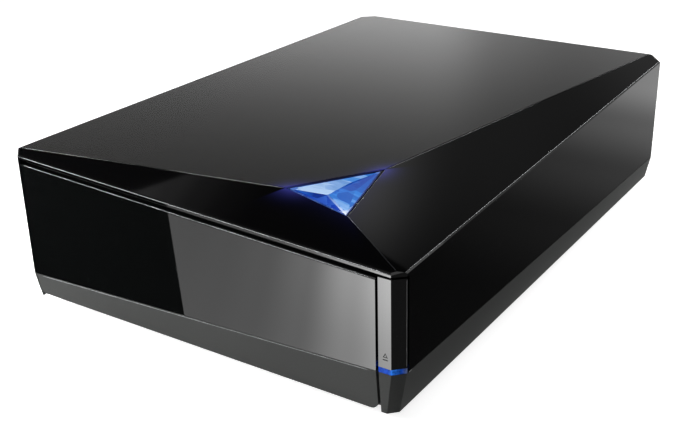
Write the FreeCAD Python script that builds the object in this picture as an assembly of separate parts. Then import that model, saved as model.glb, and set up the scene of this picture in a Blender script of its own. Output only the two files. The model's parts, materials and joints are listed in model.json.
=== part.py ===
import FreeCAD, Part
import math
import os

os.makedirs("parts", exist_ok=True)

V = FreeCAD.Vector

# External disc drive, in millimetres. The front faces -Y, +X is to the right, the feet stand on z = 0.

# Case
case_width = 165.0
case_depth = 243.0
case_height = 63.0
foot_height = 4.0
wall = 2.2
top_wall = 3.4
front_chamfer = 3.6
back_chamfer = 5.5
edge_break = 0.45
seam_gap = 0.3

# Sloping facets, as drops below the top at the corners of the case
lip_left_drop = 1.2
lip_right_drop = 8.3
side_back_drop = 1.4

# Clear stone in the top: how far its corners stand in from the right side and the front
stone_left_inset = 57.8
stone_left_setback = 22.1
stone_back_inset = 37.7
stone_back_setback = 53.5
stone_front_inset = 29.9
stone_seat = 0.1
stone_gap = 0.25
stone_depth = 5.5
stone_collar = 1.6
reflector_thickness = 0.9
light_board_thickness = 1.2

# Seam between cover and base, as heights at three corners
seam_front_left = 14.1
seam_front_right = 20.0
seam_back_right = 14.0
side_taper = 0.20
front_taper = 0.09
corner_taper = 0.175

# Top plate
plate_thickness = 1.6
plate_seam = 0.45

# Drawer front
frame_edge = 1.3
lip_thickness = 1.3
panel_drop = 3.2
panel_thickness = 2.6
panel_gap = 0.3
strip_corner = 3.0
strip_lift = 0.4
strip_left_lift = 2.0
slot_gap = 1.0

# Eject key and its light
key_face = 4.6
key_thickness = 2.0
key_bottom = 21.6
key_drop = 2.3
key_return = 0.1
key_gap = 0.3
key_travel = 0.8
guide_thickness = 1.8
guide_depth = 2.8
guide_seat = 0.1
switch_length = 4.0
switch_width = 3.6
switch_height = 6.0
plunger_radius = 1.0
plunger_depth = 1.5
key_board_thickness = 1.2
key_board_length = 22.0
key_board_headroom = 5.2
key_board_drop = 0.5
stem_gap = 0.3
stem_length = 4.6

# Feet and case screws
foot_radius = 7.0
foot_inset_x = 20.0
foot_inset_y = 22.0
foot_recess = 0.8
boss_radius = 3.6
screw_radius = 1.5
screw_head_radius = 2.8
screw_head_height = 1.8
screw_clearance = 0.05
screw_free_play = 0.2
sink_clearance = 0.3
recess_half = 1.6
recess_slit = 0.35
recess_depth = 0.9
rear_boss_x = 10.5
rear_boss_y = 13.5
mid_boss_gap = 23.0
boss_rise = 4.0
case_screw_sink = 3.0
drive_screw_sink = 2.2

# Rear panel
rear_side_room = 16.5
rear_bottom = 15.2
rear_top_room = 15.0
rear_fit = 0.2
rear_recess = 0.6
rear_thickness = 2.0
rear_flange = 1.6
vent_count = 16
vent_width = 2.0
vent_lift = 15.8
vent_top_gap = 3.0
vent_pitch = 5.0
vent_offset = 4.0
usb_width = 12.2
usb_height = 10.8
usb_length = 18.0
socket_pitch = 16.0
jack_width = 9.0
jack_height = 11.0
jack_length = 14.5
jack_hole_radius = 2.75
jack_pin_radius = 1.05
jack_inset = 15.0
lock_width = 7.0
lock_height = 3.0
lock_inset = 14.0

# Drive mechanism: its width and height are what these rooms leave, here the standard 146 by 41.3 mm
drive_side_room = 9.5
drive_head_room = 11.7
drive_length = 168.0
drive_lift = 3.8
drive_setback = 4.5
sheet = 0.8
face_thickness = 3.2
frame_wall = 2.6
floor_thickness = 2.0
drive_screw_inset = 3.15
drive_screw_front = 52.0
drive_screw_pitch = 79.2

# Tray
tray_side_room = 7.5
tray_rear_room = 11.0
tray_height = 16.3
tray_thickness = 5.0
tray_skin = 2.7
tray_rim = 3.5
tray_gap = 0.35
disc_radius = 60.0
disc_clearance = 0.6
small_disc_radius = 40.0
disc_recess = 1.5
small_disc_step = 0.6
disc_front = 7.0
dip_radius = 9.0
dip_spread = 34.0
bracket_thickness = 1.4
slot_half = 22.0
ledge_depth = 3.0

# Gear train
gear_module = 1.0
pressure_angle = 20.0
backlash = 0.14
tray_gear_teeth = 30
pinion_teeth = 12
pulley_radius = 13.0
motor_pulley_radius = 3.25
belt_size = 1.4
belt_gap = 0.08
gear_height = 4.0
gear_base = 8.4
rack_from_edge = 11.0
rack_thickness = 4.0
gear_from_face = 22.0
pinion_bearing = 10.0
motor_offset_x = 29.0
motor_radius = 10.5
axle_radius = 1.5
running_fit = 0.05

# Traverse, spindle and pickup
traverse_left = 36.0
traverse_right = 42.0
traverse_front = 49.5
traverse_length = 108.0
traverse_base = 8.0
traverse_plate = 2.5
hinge_radius = 1.5
damper_radius = 3.4
damper_length = 4.0
tilt_drop = 5.0
cam_travel = 12.0
cam_thickness = 3.0
cam_height = 12.5
cam_pin_x = 24.0
cam_pin_radius = 1.4
cam_slot_gap = 0.35
spindle_radius = 13.0
platter_radius = 14.5
nose_radius = 7.3
rod_radius = 1.5
rod_left = 24.0
rod_right = 26.0
rod_lift = 5.2
screw_offset = 34.0
lead_screw_radius = 1.5
pickup_length = 29.0
pickup_inner = 24.0
pickup_outer = 58.0
lens_radius = 3.8
sled_motor_radius = 4.8
sled_motor_length = 14.0

# Clamp
bridge_width = 40.0
bridge_thickness = 1.6
bridge_clear = 4.7
puck_radius = 15.0
puck_hub_radius = 8.0

# Boards and leads
board_thickness = 1.6
bridge_board_side_room = 21.5
bridge_board_gap = 4.7
bridge_board_lift = 8.8
bridge_board_inset = 3.2
lead_radius = 1.0
crystal_lead_radius = 0.8
main_board_length = 62.0
main_board_lift = 0.4
port_offset = 20.0
port_half = 20.0
port_blade_half = 18.6
dock_half = 22.0
dock_wall = 3.0
dock_gap = 0.3
dock_seat = 7.0
dock_height = 8.0
dock_depth = 5.0

# Chips, as their left front corner on the board, width, depth and height
bridge_chip_sizes = [
    (-8.0, 24.0, 12.0, 12.0, 1.2),
    (14.0, 27.0, 6.0, 5.0, 1.6),
    (-22.0, 30.0, 8.0, 4.0, 2.2),
    (-38.0, 24.0, 10.0, 10.0, 4.5),
]
capacitor_places = [30.0, 41.0]
capacitor_setback = 14.0
capacitor_radius = 4.0
capacitor_height = 9.0
main_chip_sizes = [
    (-10.0, 52.0, 16.0, 16.0, 1.3),
    (14.0, 50.0, 10.0, 8.0, 1.0),
    (-30.0, 48.0, 10.0, 7.0, 1.2),
]

# What follows from the values above
half_width = case_width / 2
front = -case_depth / 2
back = case_depth / 2
lip_left_height = case_height - lip_left_drop
lip_right_height = case_height - lip_right_drop
side_back_height = case_height - side_back_drop
stone_left_x = half_width - stone_left_inset
stone_left_y = front + stone_left_setback
stone_back_x = half_width - stone_back_inset
stone_back_y = front + stone_back_setback
stone_front_x = half_width - stone_front_inset
base_floor = foot_height
floor_top = base_floor + wall
key_left = half_width - front_chamfer - key_face
panel_right = key_left - slot_gap
panel_left = -half_width + front_chamfer + frame_edge
key_back = front + front_chamfer + key_return
drive_x = (panel_left + panel_right) / 2
drive_front = front + drive_setback
drive_back = drive_front + drive_length
drive_bottom = floor_top + drive_lift
drive_top = case_height - drive_head_room
drive_width = case_width - 2 * drive_side_room
spindle_y = drive_front + disc_front + disc_radius + disc_clearance
tray_width = drive_width - 2 * tray_side_room
tray_length = drive_length - tray_rear_room
tray_bottom = drive_bottom + tray_height
tray_top = tray_bottom + tray_thickness
rear_width = case_width - 2 * rear_side_room
rear_top = case_height - rear_top_room
bridge_board_width = case_width - 2 * bridge_board_side_room
jack_x = bridge_board_width / 2 - jack_inset
usb_x = jack_x - socket_pitch
lock_x = -rear_width / 2 + lock_inset
reach = 600.0

nodes = {}


def box(x0, x1, y0, y1, z0, z1):
    return Part.makeBox(x1 - x0, y1 - y0, z1 - z0, V(x0, y0, z0))


def rod(radius, start, end):
    start = V(*start)
    along = V(*end) - start
    return Part.makeCylinder(radius, along.Length, start, along)


def prism(points, z0, z1):
    corners = [V(x, y, z0) for x, y in points]
    return Part.Face(Part.makePolygon(corners + corners[:1])).extrude(V(0, 0, z1 - z0))


def join(shapes):
    whole = shapes[0]
    for shape in shapes[1:]:
        whole = whole.fuse(shape)
    return whole.removeSplitter()


def cut(shape, tools):
    for tool in tools:
        shape = shape.cut(tool)
    return shape


def plane(a, b, c, outward):
    # A flat face through three points, as its outward normal and its distance from the origin
    normal = (V(*b) - V(*a)).cross(V(*c) - V(*a)).normalize()
    if normal.dot(V(*outward)) < 0:
        normal = normal * -1
    return normal, normal.dot(V(*a))


def beyond(face):
    # All the space outside a flat face
    normal, distance = face
    block = Part.makeBox(2 * reach, 2 * reach, reach, V(-reach, -reach, 0))
    block.Placement = FreeCAD.Placement(normal * distance, FreeCAD.Rotation(V(0, 0, 1), normal))
    return block


def shifted(face, step):
    return face[0], face[1] + step


def broken_edge(first, second, size):
    # A narrow flat along the edge where two faces meet
    total = first[0] + second[0]
    return total * (1 / total.Length), (first[1] + second[1]) / total.Length - size / math.sqrt(2)


def seam_height(x, y):
    across = (seam_front_right - seam_front_left) / case_width
    along = (seam_back_right - seam_front_right) / case_depth
    return seam_front_left + across * (x + half_width) + along * (y - front)


def lip_height(x):
    span = case_width - 2 * front_chamfer
    return lip_left_height + (lip_right_height - lip_left_height) * (x + span / 2) / span


# Flat faces of the outer form
def flat(x, y, z, distance):
    return V(x, y, z).normalize(), distance


def corner_face(side_x, side_y, chamfer):
    return flat(side_x, side_y, 0, (half_width + back - chamfer) / math.sqrt(2))


def taper_face(x0, y0, x1, y1, out_x, out_y, slope):
    # Leans in below the seam, along the seam's line between two plan points
    drop = 10.0
    low = (x0 - out_x * slope * drop, y0 - out_y * slope * drop, seam_height(x0, y0) - drop)
    return plane((x0, y0, seam_height(x0, y0)), (x1, y1, seam_height(x1, y1)), low, (out_x, out_y, -slope))


edge_x = half_width - front_chamfer
edge_y = front + front_chamfer
tail_x = half_width - back_chamfer
tail_y = back - back_chamfer
slant = math.sqrt(0.5)

right_face = flat(1, 0, 0, half_width)
left_face = flat(-1, 0, 0, half_width)
front_face = flat(0, -1, 0, back)
back_face = flat(0, 1, 0, back)
top_face = flat(0, 0, 1, case_height)
bottom_face = flat(0, 0, -1, -base_floor)
front_facet = plane(
    (-edge_x, front, lip_left_height),
    (edge_x, front, lip_right_height),
    (stone_left_x, stone_left_y, case_height),
    (0, 0, 1),
)
right_facet = plane(
    (half_width, edge_y, lip_right_height),
    (half_width, tail_y, side_back_height),
    (stone_back_x, stone_back_y, case_height),
    (0, 0, 1),
)
seam_face = plane(
    (-half_width, front, seam_front_left),
    (half_width, front, seam_front_right),
    (half_width, back, seam_back_right),
    (0, 0, 1),
)
front_taper_face = taper_face(-edge_x, front, edge_x, front, 0, -1, front_taper)

sides = [right_face, left_face, front_face, back_face]
corners = [
    corner_face(1, -1, front_chamfer),
    corner_face(-1, -1, front_chamfer),
    corner_face(1, 1, back_chamfer),
    corner_face(-1, 1, back_chamfer),
]
facets = [front_facet, right_facet]
tapers = [
    front_taper_face,
    taper_face(-tail_x, back, tail_x, back, 0, 1, front_taper),
    taper_face(half_width, edge_y, half_width, tail_y, 1, 0, side_taper),
    taper_face(-half_width, edge_y, -half_width, tail_y, -1, 0, side_taper),
    taper_face(edge_x, front, half_width, edge_y, slant, -slant, corner_taper),
    taper_face(-edge_x, front, -half_width, edge_y, -slant, -slant, corner_taper),
    taper_face(tail_x, back, half_width, tail_y, slant, slant, corner_taper),
    taper_face(-tail_x, back, -half_width, tail_y, -slant, slant, corner_taper),
]
breaks = [
    broken_edge(front_face, front_facet, edge_break),
    broken_edge(right_face, right_facet, edge_break),
    broken_edge(corners[0], front_facet, edge_break),
    broken_edge(corners[1], front_facet, edge_break),
    broken_edge(corners[2], right_facet, edge_break),
    broken_edge(left_face, top_face, edge_break),
    broken_edge(back_face, top_face, edge_break),
    broken_edge(corners[3], top_face, edge_break),
    broken_edge(corners[1], top_face, edge_break),
]


def solid_within(faces):
    body = box(-reach / 2, reach / 2, -reach / 2, reach / 2, -reach / 4, reach / 4)
    for face in faces:
        body = body.cut(beyond(face))
    return body


def outer_form():
    return solid_within(sides + corners + facets + tapers + breaks + [top_face, bottom_face])


def cavity(gap):
    # The room inside the walls, made smaller all round by a gap
    inner = [shifted(face, -wall - gap) for face in sides + corners + facets + tapers + [bottom_face]]
    return solid_within(inner + [shifted(top_face, -top_wall - gap)])


outer = outer_form()
room = cavity(0)
above_seam = beyond(seam_face)

def crease_y(x):
    # The plan line where the front facet and the right facet meet
    (na, da), (nb, db) = front_facet, right_facet
    rise = (da - na.x * x) / na.z - (db - nb.x * x) / nb.z
    return rise / (na.y / na.z - nb.y / nb.z)


stone_front_y = crease_y(stone_front_x)
stone_corners = [
    (stone_left_x, stone_left_y),
    (stone_front_x, stone_front_y),
    (stone_back_x, stone_back_y),
]


def grown(points, step):
    # A triangle given counter-clockwise, with each side moved out by a step
    lines = []
    for (x0, y0), (x1, y1) in zip(points, points[1:] + points[:1]):
        length = math.hypot(x1 - x0, y1 - y0)
        nx = (y1 - y0) / length
        ny = -(x1 - x0) / length
        lines.append((nx, ny, nx * x0 + ny * y0 + step))
    result = []
    for (a1, b1, c1), (a2, b2, c2) in zip(lines[-1:] + lines[:-1], lines):
        det = a1 * b2 - a2 * b1
        result.append(((c1 * b2 - c2 * b1) / det, (a1 * c2 - a2 * c1) / det))
    return result


def top_plate_solid(inset, depth):
    # The flat part of the top, drawn in by an inset, less the stone's corner
    top = max(outer.Faces, key=lambda f: f.CenterOfMass.z)
    outline = top.OuterWire.makeOffset2D(-inset, 2)
    solid = Part.Face(outline).extrude(V(0, 0, -depth))
    return solid.cut(prism(grown(stone_corners, inset), 0, case_height + 1))


def lip_underside():
    a = (-edge_x, front, lip_left_height - lip_thickness)
    b = (edge_x, front, lip_right_height - lip_thickness)
    return plane(a, b, (edge_x, front + 10, lip_right_height - lip_thickness), (0, 0, 1))


def panel_top_face():
    return shifted(lip_underside(), lip_thickness - panel_drop)


def screw_places():
    x = half_width - rear_boss_x
    return [(side * x, y) for side in (-1, 1) for y in (drive_back + mid_boss_gap, back - rear_boss_y)]


def drive_screw_places():
    half = drive_width / 2 - drive_screw_inset
    first = drive_front + drive_screw_front
    return [(drive_x + side * half, y) for side in (-1, 1) for y in (first, first + drive_screw_pitch)]


def foot_places():
    x = half_width - foot_inset_x
    y = back - foot_inset_y
    return [(sx * x, sy * y) for sx in (-1, 1) for sy in (-1, 1)]


def screw(x, y, seat, length):
    # A pan head below its seat, with a cross recess, and a plain shank going up
    head = rod(screw_head_radius, (x, y, seat - screw_head_height), (x, y, seat))
    shank = rod(screw_radius, (x, y, seat), (x, y, seat + length))
    low = seat - screw_head_height
    slots = []
    for half_x, half_y in ((recess_half, recess_slit), (recess_slit, recess_half)):
        slots.append(box(x - half_x, x + half_x, y - half_y, y + half_y, low, low + recess_depth))
    return cut(join([head, shank]), slots)


def group(shapes):
    return Part.makeCompound(shapes)


# Case

def key_room_back():
    return key_back + key_travel + key_gap


def front_opening():
    # The room that the drawer front, the key and its light stand in
    low = base_floor - 1
    opening = box(panel_left - panel_gap, half_width + 1, front - 1, key_room_back(), low, case_height)
    return opening.cut(beyond(lip_underside()))


def rear_opening(grow):
    half = rear_width / 2 + grow
    return box(-half, half, back - wall - 1, back + 1, rear_bottom - grow, rear_top + grow)


def cover_boss(x, y):
    post = rod(boss_radius, (x, y, boss_split()), (x, y, case_height - top_wall + 0.5))
    hole = rod(screw_radius + screw_clearance, (x, y, boss_split() - 1), (x, y, boss_split() + 14.0))
    return post, hole


def boss_split():
    return seam_front_right + boss_rise


def stone_collar_wall():
    low = light_board_top()
    ring = prism(grown(stone_corners, stone_collar), low, case_height)
    return ring.common(outer)


def stone_bottom():
    return case_height - stone_depth


def light_board_top():
    return stone_bottom() - reflector_thickness - stone_seat


def make_top_cover():
    shell = outer.cut(room).cut(beyond(flipped(shifted(seam_face, seam_gap / 2))))
    bosses = [cover_boss(x, y) for x, y in screw_places()]
    posts = join([post for post, hole in bosses]).common(outer)
    shell = join([shell, posts, stone_collar_wall()])
    holes = [hole for post, hole in bosses]
    stone_hole = prism(stone_corners, light_board_top() - 1, case_height + 1)
    plate_pocket = top_plate_solid(0, plate_thickness)
    return cut(shell, holes + [stone_hole, plate_pocket, front_opening(), rear_opening(0)])


def flipped(face):
    return face[0] * -1, -face[1]


def make_top_plate():
    return top_plate_solid(plate_seam, plate_thickness)


def make_crystal():
    return outer.common(prism(grown(stone_corners, -stone_gap), stone_bottom(), case_height + 1))


def make_reflector():
    top = stone_bottom() - stone_seat
    return prism(grown(stone_corners, -stone_gap), top - reflector_thickness, top)


def make_light_board():
    top = light_board_top()
    return prism(grown(stone_corners, stone_collar), top - light_board_thickness, top)


def bulkhead():
    # The upright wall behind the drawer front, with a window for the drive
    y0 = bulkhead_front()
    wall_part = box(-reach, reach, y0, y0 + wall, floor_top - 0.5, case_height)
    low = outer.common(wall_part).cut(above_seam)
    high = cavity(seam_gap).common(wall_part)
    window = box(
        drive_x - drive_width / 2 - seam_gap,
        drive_x + drive_width / 2 + seam_gap,
        y0 - 1,
        y0 + wall + 1,
        drive_bottom - seam_gap,
        drive_top + seam_gap,
    )
    stem_hole = box(
        key_left - 0.4,
        key_left + switch_width + 0.4,
        y0 - 1,
        y0 + wall + 1,
        switch_bottom() - 0.4,
        switch_bottom() + switch_height + 0.4,
    )
    return cut(join([low, high]), [window, stem_hole])


def bulkhead_front():
    return front + panel_thickness + 1.7


def base_boss(x, y):
    post = rod(boss_radius, (x, y, base_floor), (x, y, boss_split()))
    bore = rod(screw_radius + screw_free_play, (x, y, base_floor - 1), (x, y, boss_split() + 1))
    seat = base_floor + case_screw_sink
    sink = rod(screw_head_radius + sink_clearance, (x, y, base_floor - 1), (x, y, seat))
    return post, bore, sink


def drive_boss(x, y):
    post = rod(boss_radius, (x, y, base_floor), (x, y, drive_bottom))
    bore = rod(screw_radius + screw_free_play, (x, y, base_floor - 1), (x, y, drive_bottom + 1))
    seat = base_floor + drive_screw_sink
    sink = rod(screw_head_radius + sink_clearance, (x, y, base_floor - 1), (x, y, seat))
    return post, bore, sink


def make_base_shell():
    shell = outer.cut(room).cut(beyond(shifted(seam_face, -seam_gap / 2)))
    x0, x1 = panel_left - panel_gap, panel_right + slot_gap
    shell = shell.cut(box(x0, x1, front - 1, key_back, 0, case_height))
    block_top = key_bottom - 2 * guide_seat - guide_thickness
    bosses = [base_boss(x, y) for x, y in screw_places()]
    bosses += [drive_boss(x, y) for x, y in drive_screw_places()]
    posts = [board_post(x, y) for x, y in bridge_screw_places()]
    shell = join([shell, bulkhead()] + [boss[0] for boss in bosses] + [post[0] for post in posts])
    posts = [post[1] for post in posts]
    tools = [boss[1] for boss in bosses] + [boss[2] for boss in bosses] + [rear_opening(0)]
    tools.append(box(panel_right, reach, front - 1, key_room_back(), block_top, case_height))
    strip_room = box(x0, x1, front - 1, front + 9, 0, seam_front_right)
    tools.append(strip_room.common(beyond(shifted(front_taper_face, -panel_thickness - 0.5))))
    tools += posts
    for x, y in foot_places():
        tools.append(rod(foot_radius + 0.1, (x, y, 0), (x, y, base_floor + foot_recess)))
    return cut(shell, tools)


def make_front_panel():
    region = box(panel_left, panel_right, front - 1, front + panel_thickness, 0, case_height)
    panel = outer.common(region).cut(beyond(panel_top_face()))
    panel = panel.cut(beyond(flipped(shifted(seam_face, 0.1))))
    return panel.cut(beyond(broken_edge(front_face, panel_top_face(), edge_break)))


def make_front_strip():
    # Its lower edge climbs a little towards the left
    region = box(panel_left, panel_right, front - 1, front + 6, 0, case_height / 2)
    low_left = (panel_left, front, base_floor + strip_left_lift)
    low_right = (panel_right, front, base_floor + strip_lift)
    low_back = (panel_left, back, base_floor + strip_left_lift)
    region = region.cut(beyond(plane(low_left, low_right, low_back, (0, 0, -1))))
    low_edges = [e for e in region.Edges if abs(e.tangentAt(0).y) > 0.9 and e.CenterOfMass.z < seam_front_left]
    region = region.makeFillet(strip_corner, low_edges)
    strip = outer.common(region).cut(beyond(shifted(seam_face, -0.1)))
    return strip.common(beyond(shifted(front_taper_face, -panel_thickness)))


def make_eject_key():
    region = box(key_left, half_width + 1, front - 1, key_back, key_bottom, lip_height(key_left) - key_drop)
    blade = outer.common(region)
    inner = [shifted(face, -key_thickness) for face in (front_face, right_face, corners[0])]
    hollow = box(key_left - 1, half_width + 1, front - 1, key_back + 1, key_bottom - 1, case_height)
    for face in inner:
        hollow = hollow.cut(beyond(face))
    blade = blade.cut(hollow)
    stem = box(
        key_left,
        key_left + switch_width,
        front + key_thickness - stem_gap,
        switch_front() - stem_gap,
        switch_bottom(),
        switch_bottom() + switch_height,
    )
    return join([blade, stem])


def switch_front():
    return front + key_thickness + key_travel + stem_length


def switch_bottom():
    return (key_bottom + lip_height(edge_x) - key_drop) / 2 - switch_height / 2


def make_key_light():
    top = key_bottom - guide_seat
    region = box(key_left, half_width + 1, front - 1, key_back, top - guide_thickness, top)
    band = outer.common(region)
    inner = box(key_left - 1, half_width + 1, front - 1, key_back + 1, 0, case_height)
    for face in (front_face, right_face, corners[0]):
        inner = inner.cut(beyond(shifted(face, -guide_depth)))
    return band.cut(inner)


def plunger_line():
    return key_left + switch_width / 2, switch_bottom() + switch_height / 2


def make_tact_switch():
    y0 = switch_front() + key_travel
    z0 = switch_bottom()
    body = box(key_left, key_left + switch_width, y0, y0 + switch_length, z0, z0 + switch_height)
    x, z = plunger_line()
    bore_end = y0 + plunger_depth + key_travel + 0.2
    return body.cut(rod(plunger_radius + running_fit, (x, y0 - 1, z), (x, bore_end, z)))


def make_switch_plunger():
    # Rides with the key, and slides in the switch's own bore
    x, z = plunger_line()
    y0 = switch_front()
    return rod(plunger_radius, (x, y0 - stem_gap, z), (x, y0 + key_travel + plunger_depth, z))


# Rear of the case

def socket_box(x, width, height, grow):
    z0 = board_top()
    return x - width / 2 - grow, x + width / 2 + grow, z0 - grow, z0 + height + grow


def usb_box(grow):
    return socket_box(usb_x, usb_width, usb_height, grow)


def jack_box(grow):
    return socket_box(jack_x, jack_width, jack_height, grow)


def board_top():
    return floor_top + bridge_board_lift + board_thickness


def rear_face_y():
    return back - rear_recess


def make_rear_panel():
    y1 = rear_face_y()
    half = rear_width / 2 - rear_fit
    plate = box(-half, half, y1 - rear_thickness, y1, rear_bottom + rear_fit, rear_top - rear_fit)
    half = rear_width / 2 + rear_flange
    low = rear_bottom - rear_flange
    flange = box(-half, half, back - wall - 1.2, back - wall, low, rear_top + rear_flange)
    flange = flange.common(cavity(0.05))
    holes = []
    for x0, x1, z0, z1 in (usb_box(rear_fit), jack_box(rear_fit)):
        holes.append(box(x0, x1, back - 9, back + 1, z0, z1))
    middle = (rear_bottom + rear_top) / 2
    low, left = middle - lock_height / 2, lock_x - lock_width / 2
    holes.append(box(left, left + lock_width, back - 9, back + 1, low, low + lock_height))
    vent_low = rear_bottom + vent_lift
    vent_top = rear_top - vent_top_gap
    for i in range(vent_count):
        x = (i - (vent_count - 1) / 2) * vent_pitch - vent_offset
        slot = box(x - vent_width / 2, x + vent_width / 2, back - 9, back + 1, vent_low, vent_top)
        edges = [e for e in slot.Edges if abs(e.tangentAt(0).y) > 0.9]
        holes.append(slot.makeFillet(vent_width / 2 - 0.01, edges))
    return cut(join([plate, flange]), holes)


def make_usb_socket():
    x0, x1, z0, z1 = usb_box(0)
    y1 = rear_face_y()
    shell = box(x0, x1, y1 - usb_length, y1, z0, z1)
    edges = [e for e in shell.Edges if abs(e.tangentAt(0).y) > 0.9 and e.CenterOfMass.z > z0 + 1]
    shell = shell.makeChamfer(1.6, edges)
    inside = box(x0 + 0.5, x1 - 0.5, y1 - 10, y1 + 1, z0 + 0.5, z1 - 0.5)
    tongue = box(x0 + 3.2, x1 - 3.2, y1 - 11, y1 - 1.2, z0 + 2.4, z0 + 5.2)
    return join([shell.cut(inside), tongue])


def make_dc_jack():
    x0, x1, z0, z1 = jack_box(0)
    y1 = rear_face_y()
    body = box(x0, x1, y1 - jack_length, y1, z0, z1)
    axis_z = (z0 + z1) / 2
    hole = rod(jack_hole_radius, (jack_x, y1 - 10, axis_z), (jack_x, y1 + 1, axis_z))
    pin = rod(jack_pin_radius, (jack_x, y1 - 11, axis_z), (jack_x, y1 - 0.8, axis_z))
    return join([body.cut(hole), pin])


def bridge_board_front():
    return drive_back + bridge_board_gap


def bridge_board_back():
    return rear_face_y() - bridge_board_inset


def bridge_screw_places():
    x = bridge_board_width / 2 - 5
    ys = (bridge_board_front() + 12, bridge_board_back() - 6)
    return [(side * x, y) for side in (-1, 1) for y in ys]


def board_post(x, y):
    post = rod(boss_radius, (x, y, floor_top - 0.5), (x, y, floor_top + bridge_board_lift))
    top = floor_top + bridge_board_lift
    return post, rod(screw_radius + screw_clearance, (x, y, floor_top), (x, y, top + 1))


def make_bridge_board():
    half = bridge_board_width / 2
    z0 = floor_top + bridge_board_lift
    board = box(-half, half, bridge_board_front(), bridge_board_back(), z0, z0 + board_thickness)
    places = bridge_screw_places()
    holes = [rod(screw_radius + screw_free_play, (x, y, z0 - 1), (x, y, z0 + 9)) for x, y in places]
    return cut(board, holes)


def make_bridge_chips():
    z0 = board_top()
    y0 = bridge_board_front()
    chips = []
    for x, y, width, depth, height in bridge_chip_sizes:
        chips.append(box(x, x + width, y0 + y, y0 + y + depth, z0, z0 + height))
    for x in capacitor_places:
        y = y0 + capacitor_setback
        chips.append(rod(capacitor_radius, (x, y, z0), (x, y, z0 + capacitor_height)))
    return group(chips)


def port_x():
    return drive_x - port_offset


def make_dock_connector():
    # Sits on the bridge board's front edge and takes the drive's port
    z0 = board_top()
    x0 = port_x() - dock_half
    x1 = port_x() + dock_half
    y0 = drive_back + dock_gap
    body = box(x0, x1, y0, bridge_board_front() + dock_seat, z0, z0 + dock_height)
    return body.cut(box(x0 + dock_wall, x1 - dock_wall, y0 - 1, y0 + dock_depth, z0 + 2.4, z0 + 5.6))


def make_bridge_screws():
    z0 = board_top()
    parts = []
    for x, y in bridge_screw_places():
        head = rod(screw_head_radius, (x, y, z0), (x, y, z0 + screw_head_height))
        shank = rod(screw_radius, (x, y, z0 - 6), (x, y, z0))
        low = z0 + screw_head_height - recess_depth
        recess = box(x - recess_half, x + recess_half, y - recess_slit, y + recess_slit, low, z0 + 9)
        parts.append(join([head, shank]).cut(recess))
    return group(parts)


def make_feet():
    feet = []
    for x, y in foot_places():
        foot = rod(foot_radius, (x, y, 0), (x, y, base_floor + foot_recess))
        rim = [e for e in foot.Edges if abs(e.CenterOfMass.z) < 0.01 and len(e.Vertexes) == 1]
        feet.append(foot.makeFillet(0.8, rim))
    return group(feet)


def make_case_screws():
    seat = base_floor + case_screw_sink
    return group([screw(x, y, seat, boss_split() + 10 - base_floor) for x, y in screw_places()])


def make_drive_screws():
    seat = base_floor + drive_screw_sink
    return group([screw(x, y, seat, drive_bottom + sheet - base_floor) for x, y in drive_screw_places()])


# Drive housing

def drive_span(inset):
    return drive_x - drive_width / 2 + inset, drive_x + drive_width / 2 - inset


def tray_window():
    half = tray_width / 2 + tray_gap + 0.3
    low = rack_bottom() - 0.6
    return box(drive_x - half, drive_x + half, drive_front - 1, drive_front + 9, low, tray_top + 5.6)


def rack_bottom():
    return drive_bottom + gear_base - 0.2


def make_drive_face():
    x0, x1 = drive_span(0)
    plate = box(x0, x1, drive_front, drive_front + face_thickness, drive_bottom, drive_top)
    return plate.cut(tray_window())


def flange_split():
    return drive_bottom + 17.0


def make_drive_bottom():
    x0, x1 = drive_span(0)
    y0 = drive_front + face_thickness
    tub = box(x0, x1, y0, drive_back, drive_bottom, flange_split())
    tub = tub.cut(box(x0 + sheet, x1 - sheet, y0 - 1, drive_back - sheet, drive_bottom + sheet, drive_top))
    bore = screw_radius + screw_clearance
    holes = [rod(bore, (x, y, 0), (x, y, drive_bottom + 2)) for x, y in drive_screw_places()]
    return cut(tub, holes + [port_window()])


def port_window():
    x = port_x()
    z0 = board_top() + 2.2
    half = port_blade_half + 0.6
    return box(x - half, x + half, drive_back - 6, drive_back + 1, z0, z0 + 3.6)


def make_drive_top():
    x0, x1 = drive_span(0)
    y0 = drive_front + face_thickness
    lid = box(x0, x1, y0, drive_back, flange_split() + 0.3, drive_top)
    lid = lid.cut(box(x0 + sheet, x1 - sheet, y0 - 1, drive_back - sheet, 0, drive_top - sheet))
    dish = rod(34.0, (drive_x, spindle_y, drive_top - 0.35), (drive_x, spindle_y, drive_top + 1))
    inner = rod(30.0, (drive_x, spindle_y, drive_top - 2), (drive_x, spindle_y, drive_top + 1))
    return lid.cut(dish.cut(inner))


def frame_floor():
    return drive_bottom + sheet + floor_thickness


def traverse_box(grow):
    x0, x1 = drive_x - traverse_left, drive_x + traverse_right
    y0 = drive_front + traverse_front
    return x0 - grow, x1 + grow, y0 - grow, y0 + traverse_length + grow


def traverse_z():
    return drive_bottom + traverse_base


def hinge_y():
    return traverse_box(0)[3] - 4.0


def hinge_z():
    return traverse_z() + traverse_plate / 2


def cam_y():
    return traverse_box(0)[2] - 5.6


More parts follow.
